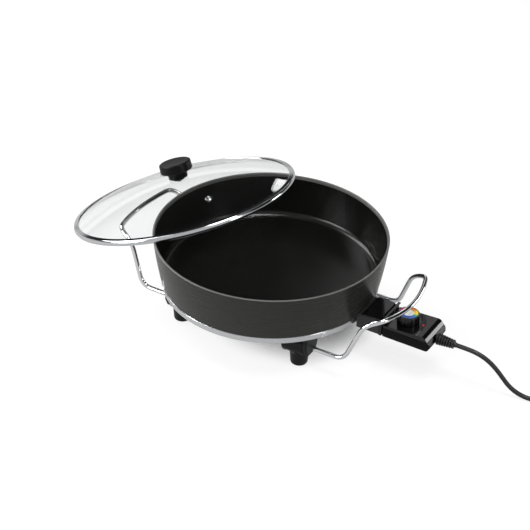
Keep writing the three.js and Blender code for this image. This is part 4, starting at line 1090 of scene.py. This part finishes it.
pieces = {piece.name: piece for piece in bpy.data.objects if piece.type == "MESH"}
dress(pan, coating_out, coating_in, bare_rim)
for material, names in (
    (machined, ["base_band", "probe_boss"]),
    (chrome, ["wire_handle_left", "wire_handle_right"]),
    (stainless, ["steel_band", "steam_grommet"]),
    (clear, ["glass_dome"]),
    (knob_black, ["knob_post", "knob_disc"]),
    (gloss_black, ["socket_plate", "thermostat_grip", "thermostat_lid", "fluted_dial"]),
    (phenolic_with_painted_reflection, ["socket_moulding"]),
    (tray_black, ["thermostat_tray"]),
    (red_lens, ["pilot_lens"]),
    (printed, ["scale_disc"]),
    (lead_black, ["mains_lead"]),
    (rubber, ["ribbed_relief", "lead_plug", "knob_washer", *(f"foot_sole_{corner}" for corner in corners)]),
    (matt_black, ["switch_block", "cup_foot_left_front", "saddle_bracket_left_front"]),
    (brass, ["contact_sleeve_near", "contact_sleeve_far", "bimetal_strip", "dial_shaft"]),
    (pin_steel, ["heating_tube", "terminal_pin_near", "terminal_pin_far", "probe_rod", "socket_screw_near",
                 "socket_screw_far", "knob_screw", "mains_pin_left", "mains_pin_right",
                 *(f"bracket_stud_{corner}" for corner in corners)]),
):
    for name in names:
        dress(pieces[name], material)
for cad_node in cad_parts.values():
    if not cad_node.hide_render and len(cad_node.data.polygons) > ROUND_FACES:
        cad_node.data.shade_smooth()
print("dressed pieces:", len(pieces))


# %% [markdown]
# The studio: a white table that runs out of the picture under a mostly dark room with one pale
# wall, and soft lamps and pale cards round it. The dark room gives the chrome and the coatings
# their depth. The table and the surround show as pure white, so that they meet without a seam: most
# of the table's white is its own to the camera, to mirrors and through glass, and the rest is lit, so
# it keeps a light shadow. Under the pan, where little light comes in, its own white fades in a painted
# shade: a soft round gradient about a fixed point beside the pan's axis.

# %% The studio
FLOOR = 12
SELF_WHITE = 0.82
MIRRORED_WHITE = 0.45
# Painted shade under the pan: the middle of its round gradient beside the pan's axis, the distances in metres where
# its fading starts and stops, and its deepest share of the table's own white.
SHADE_MIDDLE = (0.03, 0.022, 0)
SHADE_START, SHADE_END = 0.085, 0.15
DEEPEST_SHADE = 0.03
ROOM_BANDS = ((0.0, 0.6), (0.06, 0.6), (0.1, 0.02), (0.64, 0.02), (0.8, 0.12), (1.0, 0.3))
PALE_WALL = 0.6
WALL_SIDE = (0.5, -0.87, 0)
WALL_START, WALL_FULL = 0.2, 0.4
SOFTBOXES = (
    ("key_left", (-1.7, 0.1, 1.3), 34, (0.9, 1.2)),
    ("front_left", (-1.2, -1.3, 0.7), 30, (0.9, 0.7)),
    ("fill_right", (1.9, -0.2, 1.0), 7, (0.4, 1.4)),
    ("overhead", (0.5, -0.1, 2.3), 32, (0.9, 0.9)),
    ("end_slope_card", (1.5, 1.8, 0.5), 7, (0.6, 0.5)),
    ("case_top_card", (-0.14, 0.74, 0.62), 0.3, (0.25, 0.5)),
    ("window_card", (-1.05, 2.25, 0.92), 0.9, (0.14, 0.54)),
)
floor_mesh = bpy.data.meshes.new("table")
floor_mesh.from_pydata([(-FLOOR, -FLOOR, 0), (FLOOR, -FLOOR, 0), (FLOOR, FLOOR, 0), (-FLOOR, FLOOR, 0)], [],
                       [(0, 1, 2, 3)])
table = bpy.data.objects.new("table", floor_mesh)
bpy.context.collection.objects.link(table)
paper = finish("white paper table", "#fcfcfc", 0.9, grain=3)
dress(table, paper)


def seen_directly(material):
    """1 for rays from the camera, also through glass but not off it, and 0 for the others."""
    path = node(material, "ShaderNodeLightPath")
    unmirrored = node(material, "ShaderNodeMath", {0: path.outputs["Glossy Depth"], 1: 0.5}, operation="LESS_THAN")
    through = node(material, "ShaderNodeMath", {0: path.outputs["Is Transmission Ray"], 1: unmirrored},
                   operation="MULTIPLY")
    return node(material, "ShaderNodeMath", {0: path.outputs["Is Camera Ray"], 1: through},
                operation="MAXIMUM")


seen = seen_directly(paper)
paper_path = node(paper, "ShaderNodeLightPath")
off_glass = node(paper, "ShaderNodeMath", {0: paper_path.outputs["Is Glossy Ray"],
                                           1: paper_path.outputs["Is Transmission Ray"]}, operation="MAXIMUM")
unlit_paper = node(paper, "ShaderNodeMath", {0: seen, 1: off_glass}, operation="MAXIMUM")
# Painted shade under the pan: the table's own white fades round a fixed point beside the pan's axis, in place of
# the shadow that the lit part alone leaves too faint.
table_place = node(paper, "ShaderNodeTexCoord")
off_middle = node(paper, "ShaderNodeVectorMath", {0: table_place.outputs["Object"],
                                                  1: pan_axis + Vector(SHADE_MIDDLE)}, operation="DISTANCE")
painted_shade_under_pan = node(paper, "ShaderNodeMapRange", {"Value": off_middle.outputs["Value"]}, From_Min=SHADE_START,
                 From_Max=SHADE_END, To_Min=DEEPEST_SHADE * SELF_WHITE, To_Max=SELF_WHITE,
                 interpolation_type="SMOOTHSTEP")
own_white = node(paper, "ShaderNodeMath", {0: unlit_paper, 1: painted_shade_under_pan}, operation="MULTIPLY")
whiteness = node(paper, "ShaderNodeMapRange", {"Value": seen}, To_Min=MIRRORED_WHITE)
glow = node(paper, "ShaderNodeEmission", {"Strength": whiteness}, Color=(1, 1, 1, 1))
paper_mix = node(paper, "ShaderNodeMixShader", {0: own_white, 1: paper.node_tree.nodes[SHADER], 2: glow})
feed(paper, "Material Output", {"Surface": paper_mix})

world = bpy.data.worlds.new("studio")
bpy.context.scene.world = world
world.use_nodes = True
direction = node(world, "ShaderNodeTexCoord")
heights = node(world, "ShaderNodeSeparateXYZ", {0: direction.outputs["Generated"]})
room = node(world, "ShaderNodeValToRGB", {"Fac": heights.outputs["Z"]})
fill_ramp(room.color_ramp, [(height, (shade, shade, shade, 1)) for height, shade in ROOM_BANDS])
towards_wall = node(world, "ShaderNodeVectorMath", {0: direction.outputs["Generated"], 1: WALL_SIDE},
                    operation="DOT_PRODUCT")
wall_shade = node(world, "ShaderNodeMapRange", {"Value": towards_wall.outputs["Value"]}, From_Min=WALL_START,
                  From_Max=WALL_FULL, To_Max=PALE_WALL)
walls = node(world, "ShaderNodeMix", {0: 1, 6: room, 7: wall_shade}, data_type="RGBA", blend_type="LIGHTEN")
shown = node(world, "ShaderNodeMix", {0: seen_directly(world), 6: walls.outputs[2], 7: (1, 1, 1, 1)},
             data_type="RGBA")
feed(world, "Background", {"Strength": 1, "Color": shown.outputs[2]})

for name, place, power, size in SOFTBOXES:
    lamp_data = bpy.data.lights.new(name, "AREA")
    lamp_data.energy = power
    lamp_data.shape = "RECTANGLE"
    lamp_data.size, lamp_data.size_y = size
    lamp = bpy.data.objects.new(name, lamp_data)
    bpy.context.collection.objects.link(lamp)
    lamp.location = pan_axis + Vector(place)
    lamp.rotation_mode = "QUATERNION"
    lamp.rotation_quaternion = (pan_axis - lamp.location).to_track_quat("-Z", "Y")
print("studio ready")
